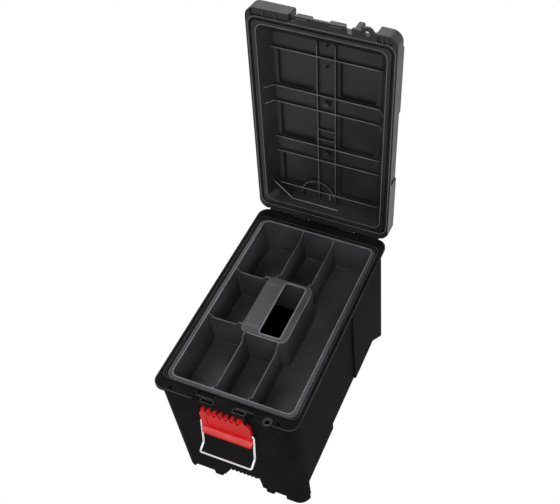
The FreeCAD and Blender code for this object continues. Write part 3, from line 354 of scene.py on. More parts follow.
def new_piece(name: str, points: np.ndarray, faces: Iterable[Sequence[int]]) -> bpy.types.Object:
    """Make an object from points and faces, with outward normals and smooth shading.

    Args:
        name: Name of the piece.
        points: Array of n by 3 coordinates in metres.
        faces: Corner numbers of each face.

    Returns:
        The linked object, at the origin.
    """
    mesh = bpy.data.meshes.new(name)
    mesh.from_pydata(points.tolist(), [], [list(face) for face in faces])
    mesh.validate()
    made = bpy.data.objects.new(name, mesh)
    bpy.context.scene.collection.objects.link(made)
    work = bmesh.new()
    work.from_mesh(mesh)
    bmesh.ops.remove_doubles(work, verts=work.verts, dist=SAME_POINT)
    bmesh.ops.recalc_face_normals(work, faces=work.faces)
    work.to_mesh(mesh)
    work.free()
    mesh.shade_smooth()
    return made


def tube_faces(rings: int, size: int, closed: bool) -> list[list[int]]:
    """Faces of a row of rings: quads between neighbours, and a cap on each end if it is open.

    Args:
        rings: Number of rings.
        size: Number of points in each ring.
        closed: Whether the last ring joins the first.

    Returns:
        Corner numbers of each face.
    """
    row = np.arange(rings if closed else rings - 1)
    here, there = np.meshgrid(row, np.arange(size), indexing="ij")
    after = (here + 1) % rings
    beside = (there + 1) % size
    corners = (here * size + there, here * size + beside,
               after * size + beside, after * size + there)
    faces = np.stack([corner.ravel() for corner in corners], axis=1).tolist()
    if not closed:
        faces.append(list(range(size))[::-1])
        faces.append(list(range((rings - 1) * size, rings * size)))
    return faces


def swept(name: str, path: np.ndarray, profile: np.ndarray, closed: bool,
          side: Sequence[float] = (0, 0, 1)) -> bpy.types.Object:
    """Carry a closed profile along a path.

    Each ring is the profile laid in the plane across the path: its first coordinate runs along
    the cross product of the path's direction and the given side, its second square to both.

    Args:
        name: Name of the piece.
        path: Points of the path, n by 3.
        profile: Points of the closed profile, m by 2.
        closed: Whether the path closes on itself.
        side: Direction that the rings keep upright.

    Returns:
        The piece.
    """
    if closed:
        ahead = np.roll(path, -1, axis=0) - np.roll(path, 1, axis=0)
    else:
        ahead = np.gradient(path, axis=0)
    ahead /= np.linalg.norm(ahead, axis=1, keepdims=True)
    across = np.cross(ahead, np.broadcast_to(np.array(side, float), ahead.shape))
    across /= np.linalg.norm(across, axis=1, keepdims=True)
    up = np.cross(across, ahead)
    rings = (path[:, None] + profile[None, :, :1] * across[:, None]
             + profile[None, :, 1:] * up[:, None])
    return new_piece(name, rings.reshape(-1, 3), tube_faces(len(path), len(profile), closed))


def circle_profile(radius: float, sides: int) -> np.ndarray:
    """Points of a circle: radius times the cosine and the sine of evenly spaced angles."""
    angle = np.linspace(0, 2 * math.pi, sides, endpoint=False)
    return np.stack([np.cos(angle), np.sin(angle)], axis=1) * radius


def bead_profile(half: float, high: float, sunk: float = 0.3) -> np.ndarray:
    """Closed section of a bead: half an ellipse on a short foot, hanging for a negative high.

    The crown's points are half cos t across and high sin t up, for t over half a turn.

    Args:
        half: Half its width in millimetres.
        high: How far it stands out.
        sunk: Depth of its foot.

    Returns:
        Points of the section, in metres.
    """
    turn = np.linspace(0, math.pi, TURN_POINTS)
    crown = np.stack([np.cos(turn) * half, np.sin(turn) * high], axis=1)
    foot = -math.copysign(sunk, high)
    return np.concatenate([crown, [(-half, foot), (half, foot)]]) * MM


def straight_path(start: Sequence[float], end: Sequence[float], count: int) -> np.ndarray:
    """Evenly spaced points between two places in millimetres, given in metres."""
    share = np.linspace(0, 1, count)[:, None]
    return (np.array(start) * (1 - share) + np.array(end) * share) * MM


def rounded_ring(half_x: float, half_y: float, radius: float, centre: Sequence[float],
                 steps: int = 10) -> np.ndarray:
    """Closed path of a rectangle with round corners, level, anticlockwise from above.

    Each corner's points are its centre plus radius times (cos t, sin t), for t over a quarter.

    Args:
        half_x: Half the width in millimetres.
        half_y: Half the length.
        radius: Corner radius.
        centre: Middle of the rectangle.
        steps: Points in each corner.

    Returns:
        Points in metres, n by 3.
    """
    turn = np.linspace(0, math.pi / 2, steps)
    parts = []
    for quarter, (sx, sy) in enumerate(((1, 1), (-1, 1), (-1, -1), (1, -1))):
        angle = turn + quarter * math.pi / 2
        parts.append(np.stack([
            centre[0] + sx * (half_x - radius) + radius * np.cos(angle),
            centre[1] + sy * (half_y - radius) + radius * np.sin(angle),
            np.full(steps, centre[2])], axis=1))
    return np.concatenate(parts) * MM


def plate(name: str, half: Sequence[float], corner: float, centre: Sequence[float], low: float,
          high: float, edge: float) -> bpy.types.Object:
    """Level plate with round corners and rounded upper and lower edges.

    The outline is a rectangle with round corners. It is stacked in rings whose inset follows a
    quarter circle of the edge's radius, inset = edge (1 - sin t) and rise = edge (1 - cos t).

    Args:
        name: Name of the piece.
        half: Half its width and half its length in millimetres.
        corner: Radius of its corners.
        centre: Middle of its outline.
        low: Height of its lower face.
        high: Height of its upper face.
        edge: Radius of its rounded edges.

    Returns:
        The piece.
    """
    turn = np.linspace(0, math.pi / 2, EDGE_POINTS)
    inset = edge * (1 - np.sin(turn))
    levels = [(gap, low + rise) for gap, rise in zip(inset, edge * (1 - np.cos(turn)))]
    levels += [(gap, high - (height - low)) for gap, height in reversed(levels)]
    rings = [rounded_ring(half[0] - gap, half[1] - gap, max(corner - gap, SMALLEST_CORNER),
                          (*centre, height), PLATE_POINTS) for gap, height in levels]
    return new_piece(name, np.concatenate(rings), tube_faces(len(rings), len(rings[0]), False))


@dataclass(frozen=True)
class PlateForm:
    """Size of a small plate that is used more than once, in millimetres."""

    half: tuple[float, float]
    corner: float
    levels: tuple[float, float]
    edge: float

    def at(self, name: str, x: float, y: float, z: float = 0) -> bpy.types.Object:
        """Make the plate, its levels counted from the place."""
        low, high = self.levels
        return plate(name, self.half, self.corner, (x, y), z + low, z + high, self.edge)


def wear_and_highlight(piece: bpy.types.Object, edge: Edge) -> bpy.types.Object:
    """Paint the whole piece pale by the given amount, as wear and as painted highlight, and return
    it.
    """
    layer = piece.data.attributes.new(WEAR_AND_HIGHLIGHT, "FLOAT", "FACE")
    layer.data.foreach_set("value", np.full(len(piece.data.polygons), edge.value))
    return piece


def carved(mesh: bpy.types.Mesh, cuts: Sequence[tuple[tuple, tuple]]) -> bpy.types.Mesh:
    """Cut upright boxes out of a closed mesh.

    Args:
        mesh: The mesh, which is used up.
        cuts: Lowest and highest corner of each box, in millimetres.

    Returns:
        The carved mesh.
    """
    signs = np.array([(x, y, z) for z in (0, 1) for x, y in ((0, 0), (1, 0), (1, 1), (0, 1))])
    sides = [(0, 3, 2, 1), (4, 5, 6, 7), (0, 1, 5, 4), (1, 2, 6, 5), (2, 3, 7, 6), (3, 0, 4, 7)]
    points = np.concatenate([np.where(signs == 1, high, low) for low, high in cuts]) * MM
    faces = [[corner + 8 * count for corner in side]
             for count in range(len(cuts)) for side in sides]
    cutter = new_piece("cutter", points, faces)
    whole = bpy.data.objects.new("uncut", mesh)
    bpy.context.scene.collection.objects.link(whole)
    tool = whole.modifiers.new("cut", "BOOLEAN")
    tool.operation = "DIFFERENCE"
    tool.solver = "EXACT"
    tool.object = cutter
    graph = bpy.context.evaluated_depsgraph_get()
    result = bpy.data.meshes.new_from_object(whole.evaluated_get(graph))
    for used in (whole, cutter):
        bpy.data.objects.remove(used, do_unlink=True)
    return result


@dataclass(frozen=True)
class HighlightFaces:
    """Faces of a moulding whose painted highlight has an amount of their own.

    The corners are in millimetres at rest. A face counts where its middle lies between them and
    it faces the given way within about 45 degrees, or any way where none is given.
    """

    low: tuple[float, float, float]
    high: tuple[float, float, float]
    amount: float
    facing: tuple[float, float, float] | None = None

    def covers(self, face: bmesh.types.BMFace) -> bool:
        """Whether the face is one of these."""
        middle = face.calc_center_median() / MM
        inside = all(a <= c <= b for a, c, b in zip(self.low, middle, self.high))
        return inside and (self.facing is None or face.normal.dot(Vector(self.facing)) > FACING_SHARE)


def merged(source: bpy.types.Mesh) -> bpy.types.Mesh:
    """Copy of a mesh of loose triangles with its corners joined and its flats made whole.

    Args:
        source: Mesh of a CAD node, which is left as it is.

    Returns:
        The new mesh.
    """
    mesh = source.copy()
    mesh.materials.clear()
    work = bmesh.new()
    work.from_mesh(mesh)
    bmesh.ops.remove_doubles(work, verts=work.verts, dist=SAME_CORNER)
    bmesh.ops.dissolve_limit(work, angle_limit=FLAT_ANGLE, verts=work.verts, edges=work.edges)
    work.to_mesh(mesh)
    work.free()
    return mesh


def bevelled_copy(node: str, width: float, cuts: Sequence[tuple[tuple, tuple]],
                  highlight_faces: Sequence[HighlightFaces]) -> bpy.types.Object:
    """Copy a CAD node's solid with its sharp edges rounded and painted pale, as wear and as painted
    highlight.

    Args:
        node: Name of the CAD node that the copy stands for.
        width: Width of the rounding in metres.
        cuts: Boxes cut out of the copy first.
        highlight_faces: Faces whose painted highlight is set apart.

    Returns:
        The copy, which replaces the node.
    """
    mesh = merged(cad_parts[node].data)
    if cuts:
        mesh = carved(mesh, cuts)
    mesh.name = node + "_form"
    work = bmesh.new()
    work.from_mesh(mesh)
    layer = work.faces.layers.float.new(WEAR_AND_HIGHLIGHT)
    edges = [edge for edge in work.edges
             if len(edge.link_faces) == 2 and edge.calc_face_angle(0) > SHARP_ANGLE]
    made = bmesh.ops.bevel(work, geom=edges, offset=width, segments=2, profile=0.6,
                           affect="EDGES", clamp_overlap=True, offset_type="OFFSET")
    # Painted highlight and wear: the rounded faces are painted pale.
    for face in made["faces"]:
        face[layer] = Edge.RUBBED_AND_LIT.value
    # Painted highlight: the chosen faces take a pale amount of their own.
    for pale_mark in highlight_faces:
        for face in work.faces:
            if pale_mark.covers(face) and (pale_mark.facing or face[layer]):
                face[layer] = pale_mark.amount
    work.to_mesh(mesh)
    work.free()
    mesh.shade_smooth()
    copy = bpy.data.objects.new(node + "_form", mesh)
    bpy.context.scene.collection.objects.link(copy)
    level = copy.modifiers.new("level", "WEIGHTED_NORMAL")
    level.keep_sharp = False
    level.weight = 80
    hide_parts(node)
    return copy


def dress(piece: bpy.types.Object, finish: Finish, body: str, slot: str) -> bpy.types.Object:
    """Give a piece its finish and its body.

    Args:
        piece: The piece to dress.
        finish: Its surface finish.
        body: CAD body that it moves with.
        slot: Not used.

    Returns:
        The same piece.
    """
    piece.data.materials.clear()
    piece.data.materials.append(finish.material())
    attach(piece, body)
    log.info("%s: %d faces", piece.name, len(piece.data.polygons))
    return piece


# Sub-assemblies

@dataclass(frozen=True)
class LidFrame:
    """Turns places of the closed lid to where the open lid carries them.

    The hinge rod's place is in millimetres, the angle in degrees.
    """

    hinge_y: float = 206.5
    hinge_z: float = 291.5
    angle: float = 96.4

    def opened(self, points: np.ndarray) -> np.ndarray:
        """Turn points about the hinge rod, from the closed lid to the open one.

        Args:
            points: Points in metres, n by 3.

        Returns:
            The turned points.
        """
        turn = math.radians(self.angle)
        back = points[:, 1] - self.hinge_y * MM
        rise = points[:, 2] - self.hinge_z * MM
        return np.stack([
            points[:, 0],
            self.hinge_y * MM + back * math.cos(turn) + rise * math.sin(turn),
            self.hinge_z * MM - back * math.sin(turn) + rise * math.cos(turn)], axis=1)

    def swing(self, piece: bpy.types.Object) -> bpy.types.Object:
        """Swing a piece that was made on the closed lid to the open lid.

        Args:
            piece: Piece in the closed lid's place.

        Returns:
            The same piece, swung open.
        """
        points = np.empty(len(piece.data.vertices) * 3)
        piece.data.vertices.foreach_get("co", points)
        piece.data.vertices.foreach_set("co", self.opened(points.reshape(-1, 3)).ravel())
        piece.data.update()
        return piece


OPEN_LID = LidFrame()


@dataclass
class MouldedShells:
    """The large mouldings and small fittings whose solids stand, with rounded edges.

    Each row gives a node, the width of its rounding in millimetres, its finish, body and slot.
    """

    teeth: int = 7
    comb_half: float = 38
    comb_gap: float = 5.4
    comb_low: float = 248.5
    comb_high: float = 275
    comb_front: float = -214
    comb_back: float = -202.5
    # Painted highlight: the lever's upward lip slope is painted pale, and the tray hub's left edge
    # keeps a dimmer one.
    highlight_faces: tuple = (
        ("latch_lever", HighlightFaces((-42, -216, 198), (42, -208, 208), 0.9, (0, -0.5, 0.86))),
        ("organizer_tray", HighlightFaces((-44, -58, 280), (-41, 58, 285), Edge.DULL.value)),
    )
    rows: tuple = (
        ("body_shell", 0.9, *OF_BODY),
        ("lid_shell", 0.9, *OF_LID),
        ("organizer_tray", 0.8, *OF_TRAY),
        ("latch_lever", 0.7, RED_PLASTIC, "lever", "red_plastic"),
        ("stack_release_lever", 0.5, BODY_PLASTIC, "release", "black_plastic"),
        ("carry_handle", 0.8, BODY_PLASTIC, "handle", "black_plastic"),
        ("handle_bracket_front", 0.6, BODY_PLASTIC, "lid", "black_plastic"),
        ("handle_bracket_rear", 0.6, BODY_PLASTIC, "lid", "black_plastic"),
        ("padlock_eyelet_body", 0.4, HINGE_STEEL, "body", "steel"),
        ("padlock_eyelet_lid", 0.4, HINGE_STEEL, "lid", "steel"),
        ("handle_grip", 0.6, GRIP_RUBBER, "handle", "grip_rubber"),
        ("hinge_rod", 0.3, HINGE_STEEL, "body", "steel"),
        ("latch_pin", 0.3, HINGE_STEEL, "body", "steel"),
        ("stack_release_pin", 0.3, PLATED_STEEL, "body", "steel"),
        ("handle_pin_front", 0.3, PLATED_STEEL, "lid", "steel"),
        ("handle_pin_rear", 0.3, PLATED_STEEL, "lid", "steel"),
        ("handle_screw_front", 0.3, DARK_STEEL, "lid", "steel"),
        ("handle_screw_rear", 0.3, DARK_STEEL, "lid", "steel"),
    )

    def comb(self) -> list[tuple[tuple, tuple]]:
        """Boxes of the gaps between the lever's teeth, evenly spaced across its top.

        Returns:
            Lowest and highest corner of each box, in millimetres.
        """
        pitch = (2 * self.comb_half - self.comb_gap / 2) / self.teeth
        left = [-self.comb_half - self.comb_gap * 3 / 4 + count * pitch
                for count in range(1, self.teeth)]
        return [((x, self.comb_front, self.comb_low),
                 (x + self.comb_gap, self.comb_back, self.comb_high)) for x in left]

    def build(self) -> None:
        """Round and dress every solid of the list."""
        for node, width, finish, body, slot in self.rows:
            cuts = self.comb() if node == "latch_lever" else ()
            highlight_faces = [pale_mark for name, pale_mark in self.highlight_faces if name == node]
            dress(bevelled_copy(node, width * MM, cuts, highlight_faces), finish, body, slot)


@dataclass
class LidSeal:
    """Rubber seal in the lid's groove: a band with two raised lips.

    The section gives each point's share of half the band's width and of the lips' depth.
    """

    half_width: float = 119.3
    half_length: float = 187
    corner: float = 12
    base: float = 289.8
    lip: float = 287.85
    band: float = 1.7
    section: tuple = ((-1, 0), (-1, 0.55), (-0.8, 0.95), (-0.5, 1), (-0.25, 0.8), (0, 0.55),
                      (0.25, 0.8), (0.5, 1), (0.8, 0.95), (1, 0.55), (1, 0))

    def build(self) -> None:
        """Sweep the two-lipped section round the groove and swing it open."""
        path = rounded_ring(self.half_width, self.half_length, self.corner, (0, 0, self.base))
        profile = np.array(self.section) * (self.band, self.lip - self.base) * MM
        piece = OPEN_LID.swing(swept("lid_seal_lips", path, profile, True))
        dress(piece, SEAL_RUBBER, "lid", "seal_rubber")
        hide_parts("lid_seal")


@dataclass
class LidDetails:
    """Mouldings of the lid: the wall across its corner, the ridge on its rear wall, block floors.

    All places are on the closed lid, in millimetres.
    """

    corner_side: tuple[float, float, float] = (-101.4, 146.6, 301.6)
    corner_rear: tuple[float, float, float] = (-64.5, 174.3, 298.9)
    corner_thick: float = 1.6
    lid_floor: float = 314.8
    ridge_end: tuple[float, float, float] = (25.9, 174.4, 298.4)
    ridge_radius: float = 0.8
    ridge_points: int = 9
    ridge_sides: int = 10
    floors: tuple = (("left", -53.2, -117.8), ("right", 93.2, 117.8))
    floor_middle: float = -197
    floor_deep: float = 5.8
    floor_corner: float = 2.8
    floor_low: float = 288.8
    floor_thick: float = 1.6
    floor_edge: float = 0.3
    web: PlateForm = PlateForm((0.8, 5.8), 0.4, (-2, 0.4), 0.3)
    bays: int = 3

    def corner_wall(self) -> None:
        """Thin wall that stands from the lid's floor across its corner."""
        ends = np.array([self.corner_side, self.corner_rear])
        along = ends[1, :2] - ends[0, :2]
        across = np.array([-along[1], along[0]]) / np.linalg.norm(along) * self.corner_thick / 2
        rows = []
        for side in (-1, 1):
            face = ends.copy()
            face[:, :2] += side * across
            back = face.copy()
            back[:, 2] = self.lid_floor
            rows += [face, back]
        wall = new_piece("lid_corner_wall", np.concatenate(rows) * MM,
                         [(0, 1, 3, 2), (4, 6, 7, 5), (0, 4, 5, 1), (2, 3, 7, 6), (0, 2, 6, 4),
                          (1, 5, 7, 3)])
        wall.data.shade_flat()
        dress(OPEN_LID.swing(wear_and_highlight(wall, Edge.NONE)), *OF_LID)

    def block_floor(self, side: str, near: float, far: float) -> None:
        """Close a front block from below by a plate with cross webs.

        Args:
            side: Side of the lid that the block is on.
            near: End of the block's room that is nearer the middle.
            far: Its other end.
        """
        floor = plate(f"block_floor_{side}", (abs(far - near) / 2, self.floor_deep),
                      self.floor_corner, ((near + far) / 2, self.floor_middle), self.floor_low,
                      self.floor_low + self.floor_thick, self.floor_edge)
        dress(OPEN_LID.swing(floor), *OF_LID)
        for count in range(1, self.bays):
            x = near + (far - near) * count / self.bays
            web = self.web.at(f"block_web_{side}_{count}", x, self.floor_middle, self.floor_low)
            # The webs are painted slightly pale, as wear and as painted highlight.
            dress(OPEN_LID.swing(wear_and_highlight(web, Edge.DULL)), *OF_LID)

    def build(self) -> None:
        """Make the corner wall, its bead, the ridge of the rear wall and both block floors."""
        self.corner_wall()
        # Painted highlight: the corner bead and the wall ridge are painted brighter than the pale
        # tone.
        for name, start, end in (("lid_corner_bead", self.corner_side, self.corner_rear),
                                 ("lid_wall_ridge", self.corner_rear, self.ridge_end)):
            ridge = swept(name, straight_path(start, end, self.ridge_points),
                          circle_profile(self.ridge_radius * MM, self.ridge_sides), False)
            dress(OPEN_LID.swing(wear_and_highlight(ridge, Edge.BRIGHT)), *OF_LID)
        for side, near, far in self.floors:
            self.block_floor(side, near, far)


@dataclass
class RibBeads:
    """Rounded beads on the ribs and fins of the lid, and fine beads round its rim, painted pale as
    highlights.

    All places are on the closed lid, in millimetres. The bar is its place across and its ends.
    """

    cross_places: tuple = (-129.5, -57.5, -26.5, 47.5, 78, 151.5)
    cross_half: float = 97
    rib_face: float = 309.3
    spine_places: tuple = (-16, 16)
    spine_front: float = -155
    spine_rear: float = 169.5
    rib_half: float = 1.0
    rib_proud: float = 0.5
    ring_bead: tuple[float, float, float] = (0.55, -0.14, 0.1)
    lid_rings: tuple = ((110.7, 179.7, 14.7), (123.6, 191.3, 16))
    lid_face: float = 286.3
    fin_places: tuple = (-57.5, -26.5)
    fin_inner: tuple[float, float] = (95.1, 309.3)
    fin_outer: tuple[float, float] = (107.1, 291.7)
    stub_places: tuple = (11, 31)
    bar: tuple[float, float, float] = (5, 151.5, 166)
    arc_middle: tuple[float, float] = (-18, 160)
    arc_radius: float = 31
    rib_points: int = 12
    arc_points: int = 25

    def lay(self, name: str, path: np.ndarray, edge: Edge) -> None:
        """Lay a bead on a rib of the lid.

        Args:
            name: Name of the piece.
            path: Route along the rib's face, in metres.
            edge: How far the bead is painted pale as a highlight.
        """
        # Painted highlight: the bead is painted pale by its amount.
        bead = swept(name, path, bead_profile(self.rib_half, -self.rib_proud), False)
        dress(OPEN_LID.swing(wear_and_highlight(bead, edge)), *OF_LID)

    def lines(self) -> Iterator[tuple[str, tuple, tuple, Edge]]:
        """Name, both ends and painted highlight of each straight bead.

        Returns:
            One row for each bead, in millimetres on the closed lid.
        """
        face = self.rib_face
        for number, y in enumerate(self.cross_places, start=1):
            yield (f"cross_rib_bead_{number}", (-self.cross_half, y, face),
                   (self.cross_half, y, face), Edge.LIT)
        for number, x in enumerate(self.spine_places, start=1):
            yield (f"spine_bead_{number}", (x, self.spine_front, face),
                   (x, self.spine_rear, face), Edge.SOFT)
        for number, y in enumerate(self.fin_places, start=1):
            for side, sign in (("left", -1), ("right", 1)):
                yield (f"fin_bead_{side}_{number}",
                       (sign * self.fin_inner[0], y, self.fin_inner[1]),
                       (sign * self.fin_outer[0], y, self.fin_outer[1]), Edge.LIT)
        left, right = self.spine_places
        for number, y in enumerate(self.stub_places, start=1):
            yield f"stub_bead_{number}", (left, y, face), (right, y, face), Edge.SOFT
        x, front, rear = self.bar
        yield "bar_bead", (x, front, face), (x, rear, face), Edge.LIT

    def build(self) -> None:
        """Bead every rib, the arc and the rim."""
        for name, start, end, edge in self.lines():
            self.lay(name, straight_path(start, end, self.rib_points), edge)
        turn = np.linspace(math.pi, 2 * math.pi, self.arc_points)
        arc = np.column_stack([self.arc_middle[0] + self.arc_radius * np.cos(turn),
                               self.arc_middle[1] + self.arc_radius * np.sin(turn),
                               np.full(len(turn), self.rib_face)]) * MM
        self.lay("arc_bead", arc, Edge.SOFT)
        for number, outline in enumerate(self.lid_rings, start=1):
            # Painted highlight: the rim's fine beads are painted pale.
            ring = swept(f"lid_rim_bead_{number}",
                         rounded_ring(*outline, (0, 0, self.lid_face)),
                         bead_profile(*self.ring_bead), True)
            dress(OPEN_LID.swing(wear_and_highlight(ring, Edge.LIT)), *OF_LID)


@dataclass
class TrayDetails:
    """Beads of the tray's rim, its hub and hand hole, and the step lines across the hub, painted pale
    as highlights.

    A ring is given by its name, by half its width, half its length and its corner, by its
    middle, and by its bead's half width, height and painted highlight. All lengths are in
    millimetres.
    """

    top: float = 284
    rings: tuple = (
        ("hand_hole_bead", (20.2, 56.7, 6.2), (10, 1.5), 1.1, 0.6, Edge.LIT),
        ("tray_rim_bead", (107.9, 179.4, 11.4), (0, 1.5), 0.7, 0.5, Edge.LIT),
    )
    hub_half: tuple[float, float] = (42.4, 61.4)
    hub_corner: float = 12.4
    hub_bead: tuple[float, float] = (0.6, 0.4)
    line: PlateForm = PlateForm((14.75, 0.45), 0.3, (-0.3, 0.25), 0.15)
    line_x: float = -26.25
    line_places: tuple = (-47, -43, 44, 48)
    run_points: int = 8

    def hub_path(self) -> np.ndarray:
        """Route of the hub's bead: along its front edge, round a corner and up its right edge.

        Returns:
            Points of the route, in metres.
        """
        half_x, half_y = self.hub_half
        turn = np.linspace(-math.pi / 2, 0, TURN_POINTS)
        bend = np.stack([half_x - self.hub_corner + self.hub_corner * np.cos(turn),
                         -half_y + self.hub_corner + self.hub_corner * np.sin(turn)], axis=1)
        front = np.linspace((-half_x + self.hub_corner, -half_y), bend[0],
                            self.run_points)[:-1]
        right = np.linspace(bend[-1], (half_x, half_y - self.hub_corner),
                            self.run_points)[1:]
        flat = np.concatenate([front, bend, right])
        return np.column_stack([flat, np.full(len(flat), self.top)]) * MM

    def build(self) -> None:
        """Sweep the beads and lay the step lines."""
        # Painted highlight: the beads and step lines are painted pale.
        for name, outline, middle, half, high, edge in self.rings:
            path = rounded_ring(*outline, (*middle, self.top))
            dress(wear_and_highlight(swept(name, path, bead_profile(half, high), True), edge), *OF_TRAY)
        bead = swept("hub_bead", self.hub_path(), bead_profile(*self.hub_bead), False)
        dress(wear_and_highlight(bead, Edge.LIT), *OF_TRAY)
        for number, y in enumerate(self.line_places, start=1):
            line = self.line.at(f"hub_line_{number}", self.line_x, y, self.top)
            dress(wear_and_highlight(line, Edge.SOFT), *OF_TRAY)


@dataclass
class DeckDetails:
    """Fine beads painted pale as highlights, near-black plates of painted shade on the rim, lips of
    the deck and its hinge, and the serrated front arch.

    All lengths are in millimetres. A ring is given by its name, by half its width, half its
    length and its corner, by its height, and by its bead and painted highlight. A lip is given by its
    left and right end and its height. A bead is half its width and its height.
    """

    top: float = 286
    notch_shade: PlateForm = PlateForm((1.4, 2.2), 0.6, (-0.5, 0.12), 0.1)
    notch_shades: tuple = ((121.4, 109), (121.4, 51), (121.4, -8.6), (-122.6, -38))
    rings: tuple = (
        ("ridge_bead", (118.9, 186.6, 11.6), 287.5, (0.4, 0.12), Edge.LIT),
        ("deck_pocket_bead", (116.6, 186.1, 16.6), 286, (0.5, 0.14), Edge.SOFT),
    )
    rim_half: tuple[float, float] = (126.0, 206.0)
    rim_corner: float = 17
    rim_sides: tuple = (("left", -1, 54), ("right", 1, 86.5))
    rim_rear: float = 108.5
    rim_bead: tuple[float, float] = (0.5, 0.14)
    lips: tuple = ((-30.9, 30.9, 288.5), (-86.4, -60.1, 287.7), (60.1, 86.4, 287.7))
    lip_middle: float = 207.95
    lip_deep: float = 1.65
    lip_low: float = 281
    lip_corner: float = 0.8
    lip_edge: float = 0.6
    slot_place: tuple[float, float] = (28, -202.75)
    slot_outline: tuple[float, float, float] = (10.5, 3.2, 0.8)
    slot_bead: tuple[float, float] = (0.4, 0.14)
    step_y: float = -197.2
    step_ends: tuple[float, float] = (21, 50)
    knuckles: tuple = (("lid", OF_LID, 31.5, 59.5), ("body", OF_BODY, 87, 107.5))
    knuckle_line: tuple[float, float] = (202.96, 295.04)
    line_bead: tuple[float, float] = (0.45, 0.14)
    line_points: int = 8
    slot_points: int = 4
    serration: PlateForm = PlateForm((2, 1.4), 0.5, (42.4, 47.6), 0.4)
    serrations: int = 7
    serration_start: tuple[float, float] = (-20, -199.95)
    serration_pitch: float = 7.6

    def fine_line(self, name: str, start: Sequence[float], end: Sequence[float],
                  dressing: tuple) -> None:
        """Lay a fine straight bead, painted pale as a highlight.

        Args:
            name: Name of the piece.
            start: One end of the line.
            end: Its other end.
            dressing: Finish, body and slot of the moulding that carries it.
        """
        path = straight_path(start, end, self.line_points)
        line = swept(name, path, bead_profile(*self.line_bead), False)
        dress(wear_and_highlight(line, Edge.LIT), *dressing)

    def small_work(self) -> None:
        """Bead the deck's slots and steps and the knuckles with painted highlights, and serrate the
        front arch.
        """
        for side, sign in (("left", -1), ("right", 1)):
            x, y = self.slot_place
            path = rounded_ring(*self.slot_outline, (sign * x, y, self.top),
                                self.slot_points)
            ring = swept(f"slot_bead_{side}", path, bead_profile(*self.slot_bead), True)
            dress(wear_and_highlight(ring, Edge.LIT), *OF_BODY)
            near, far = self.step_ends
            self.fine_line(f"step_bead_{side}", (sign * near, self.step_y, self.top),
                           (sign * far, self.step_y, self.top), OF_BODY)
            for owner, dressing, inner, outer in self.knuckles:
                self.fine_line(f"knuckle_bead_{owner}_{side}",
                               (sign * inner, *self.knuckle_line),
                               (sign * outer, *self.knuckle_line), dressing)
        left, y = self.serration_start
        for number in range(self.serrations):
            x = left + number * self.serration_pitch
            dress(self.serration.at(f"arch_serration_{number + 1}", x, y), *OF_BODY)

    def rim_path(self, sign: int, front: float) -> np.ndarray:
        """Route along one side of the deck's rim: from its front, round both corners, to its rear.

        Args:
            sign: Minus one for the left, one for the right.
            front: Distance from the middle at which the route starts.

        Returns:
            Points of the route.
        """
        half_x, half_y = self.rim_half
        turn = np.linspace(0, math.pi / 2, TURN_POINTS)
        reach = half_x - self.rim_corner + self.rim_corner * np.sin(turn)
        depth = half_y - self.rim_corner + self.rim_corner * np.cos(turn)
        flat = np.concatenate([[(front, -half_y)], np.column_stack([reach, -depth]),
                               np.column_stack([reach, depth])[::-1],
                               [(self.rim_rear, half_y)]])
        return np.column_stack([flat[:, 0] * sign, flat[:, 1], np.full(len(flat), self.top)]) * MM

    def build(self) -> None:
        """Make the plates of painted shade, the beads, the lips and the small work."""
        # Painted shade: dark plates stand in for the shade of the rim's small recesses.
        for number, (x, y) in enumerate(self.notch_shades, start=1):
            notch_shade = self.notch_shade.at(f"rim_notch_shade_{number}", x, y, self.top)
            dress(notch_shade, SHADOW_PLASTIC, "body", "black_plastic")
        # Painted highlight: the rings and rim beads are painted pale.
        for name, outline, height, bead, edge in self.rings:
            path = rounded_ring(*outline, (0, 0, height))
            dress(wear_and_highlight(swept(name, path, bead_profile(*bead), True), edge), *OF_BODY)
        for side, sign, front in self.rim_sides:
            bead = swept(f"deck_rim_bead_{side}", self.rim_path(sign, front),
                         bead_profile(*self.rim_bead), False)
            dress(wear_and_highlight(bead, Edge.LIT), *OF_BODY)
        for number, (left, right, high) in enumerate(self.lips, start=1):
            lip = plate(f"hinge_lip_{number}", ((right - left) / 2, self.lip_deep),
                        self.lip_corner, ((left + right) / 2, self.lip_middle), self.lip_low,
                        high, self.lip_edge)
            dress(lip, *OF_BODY)
        self.small_work()


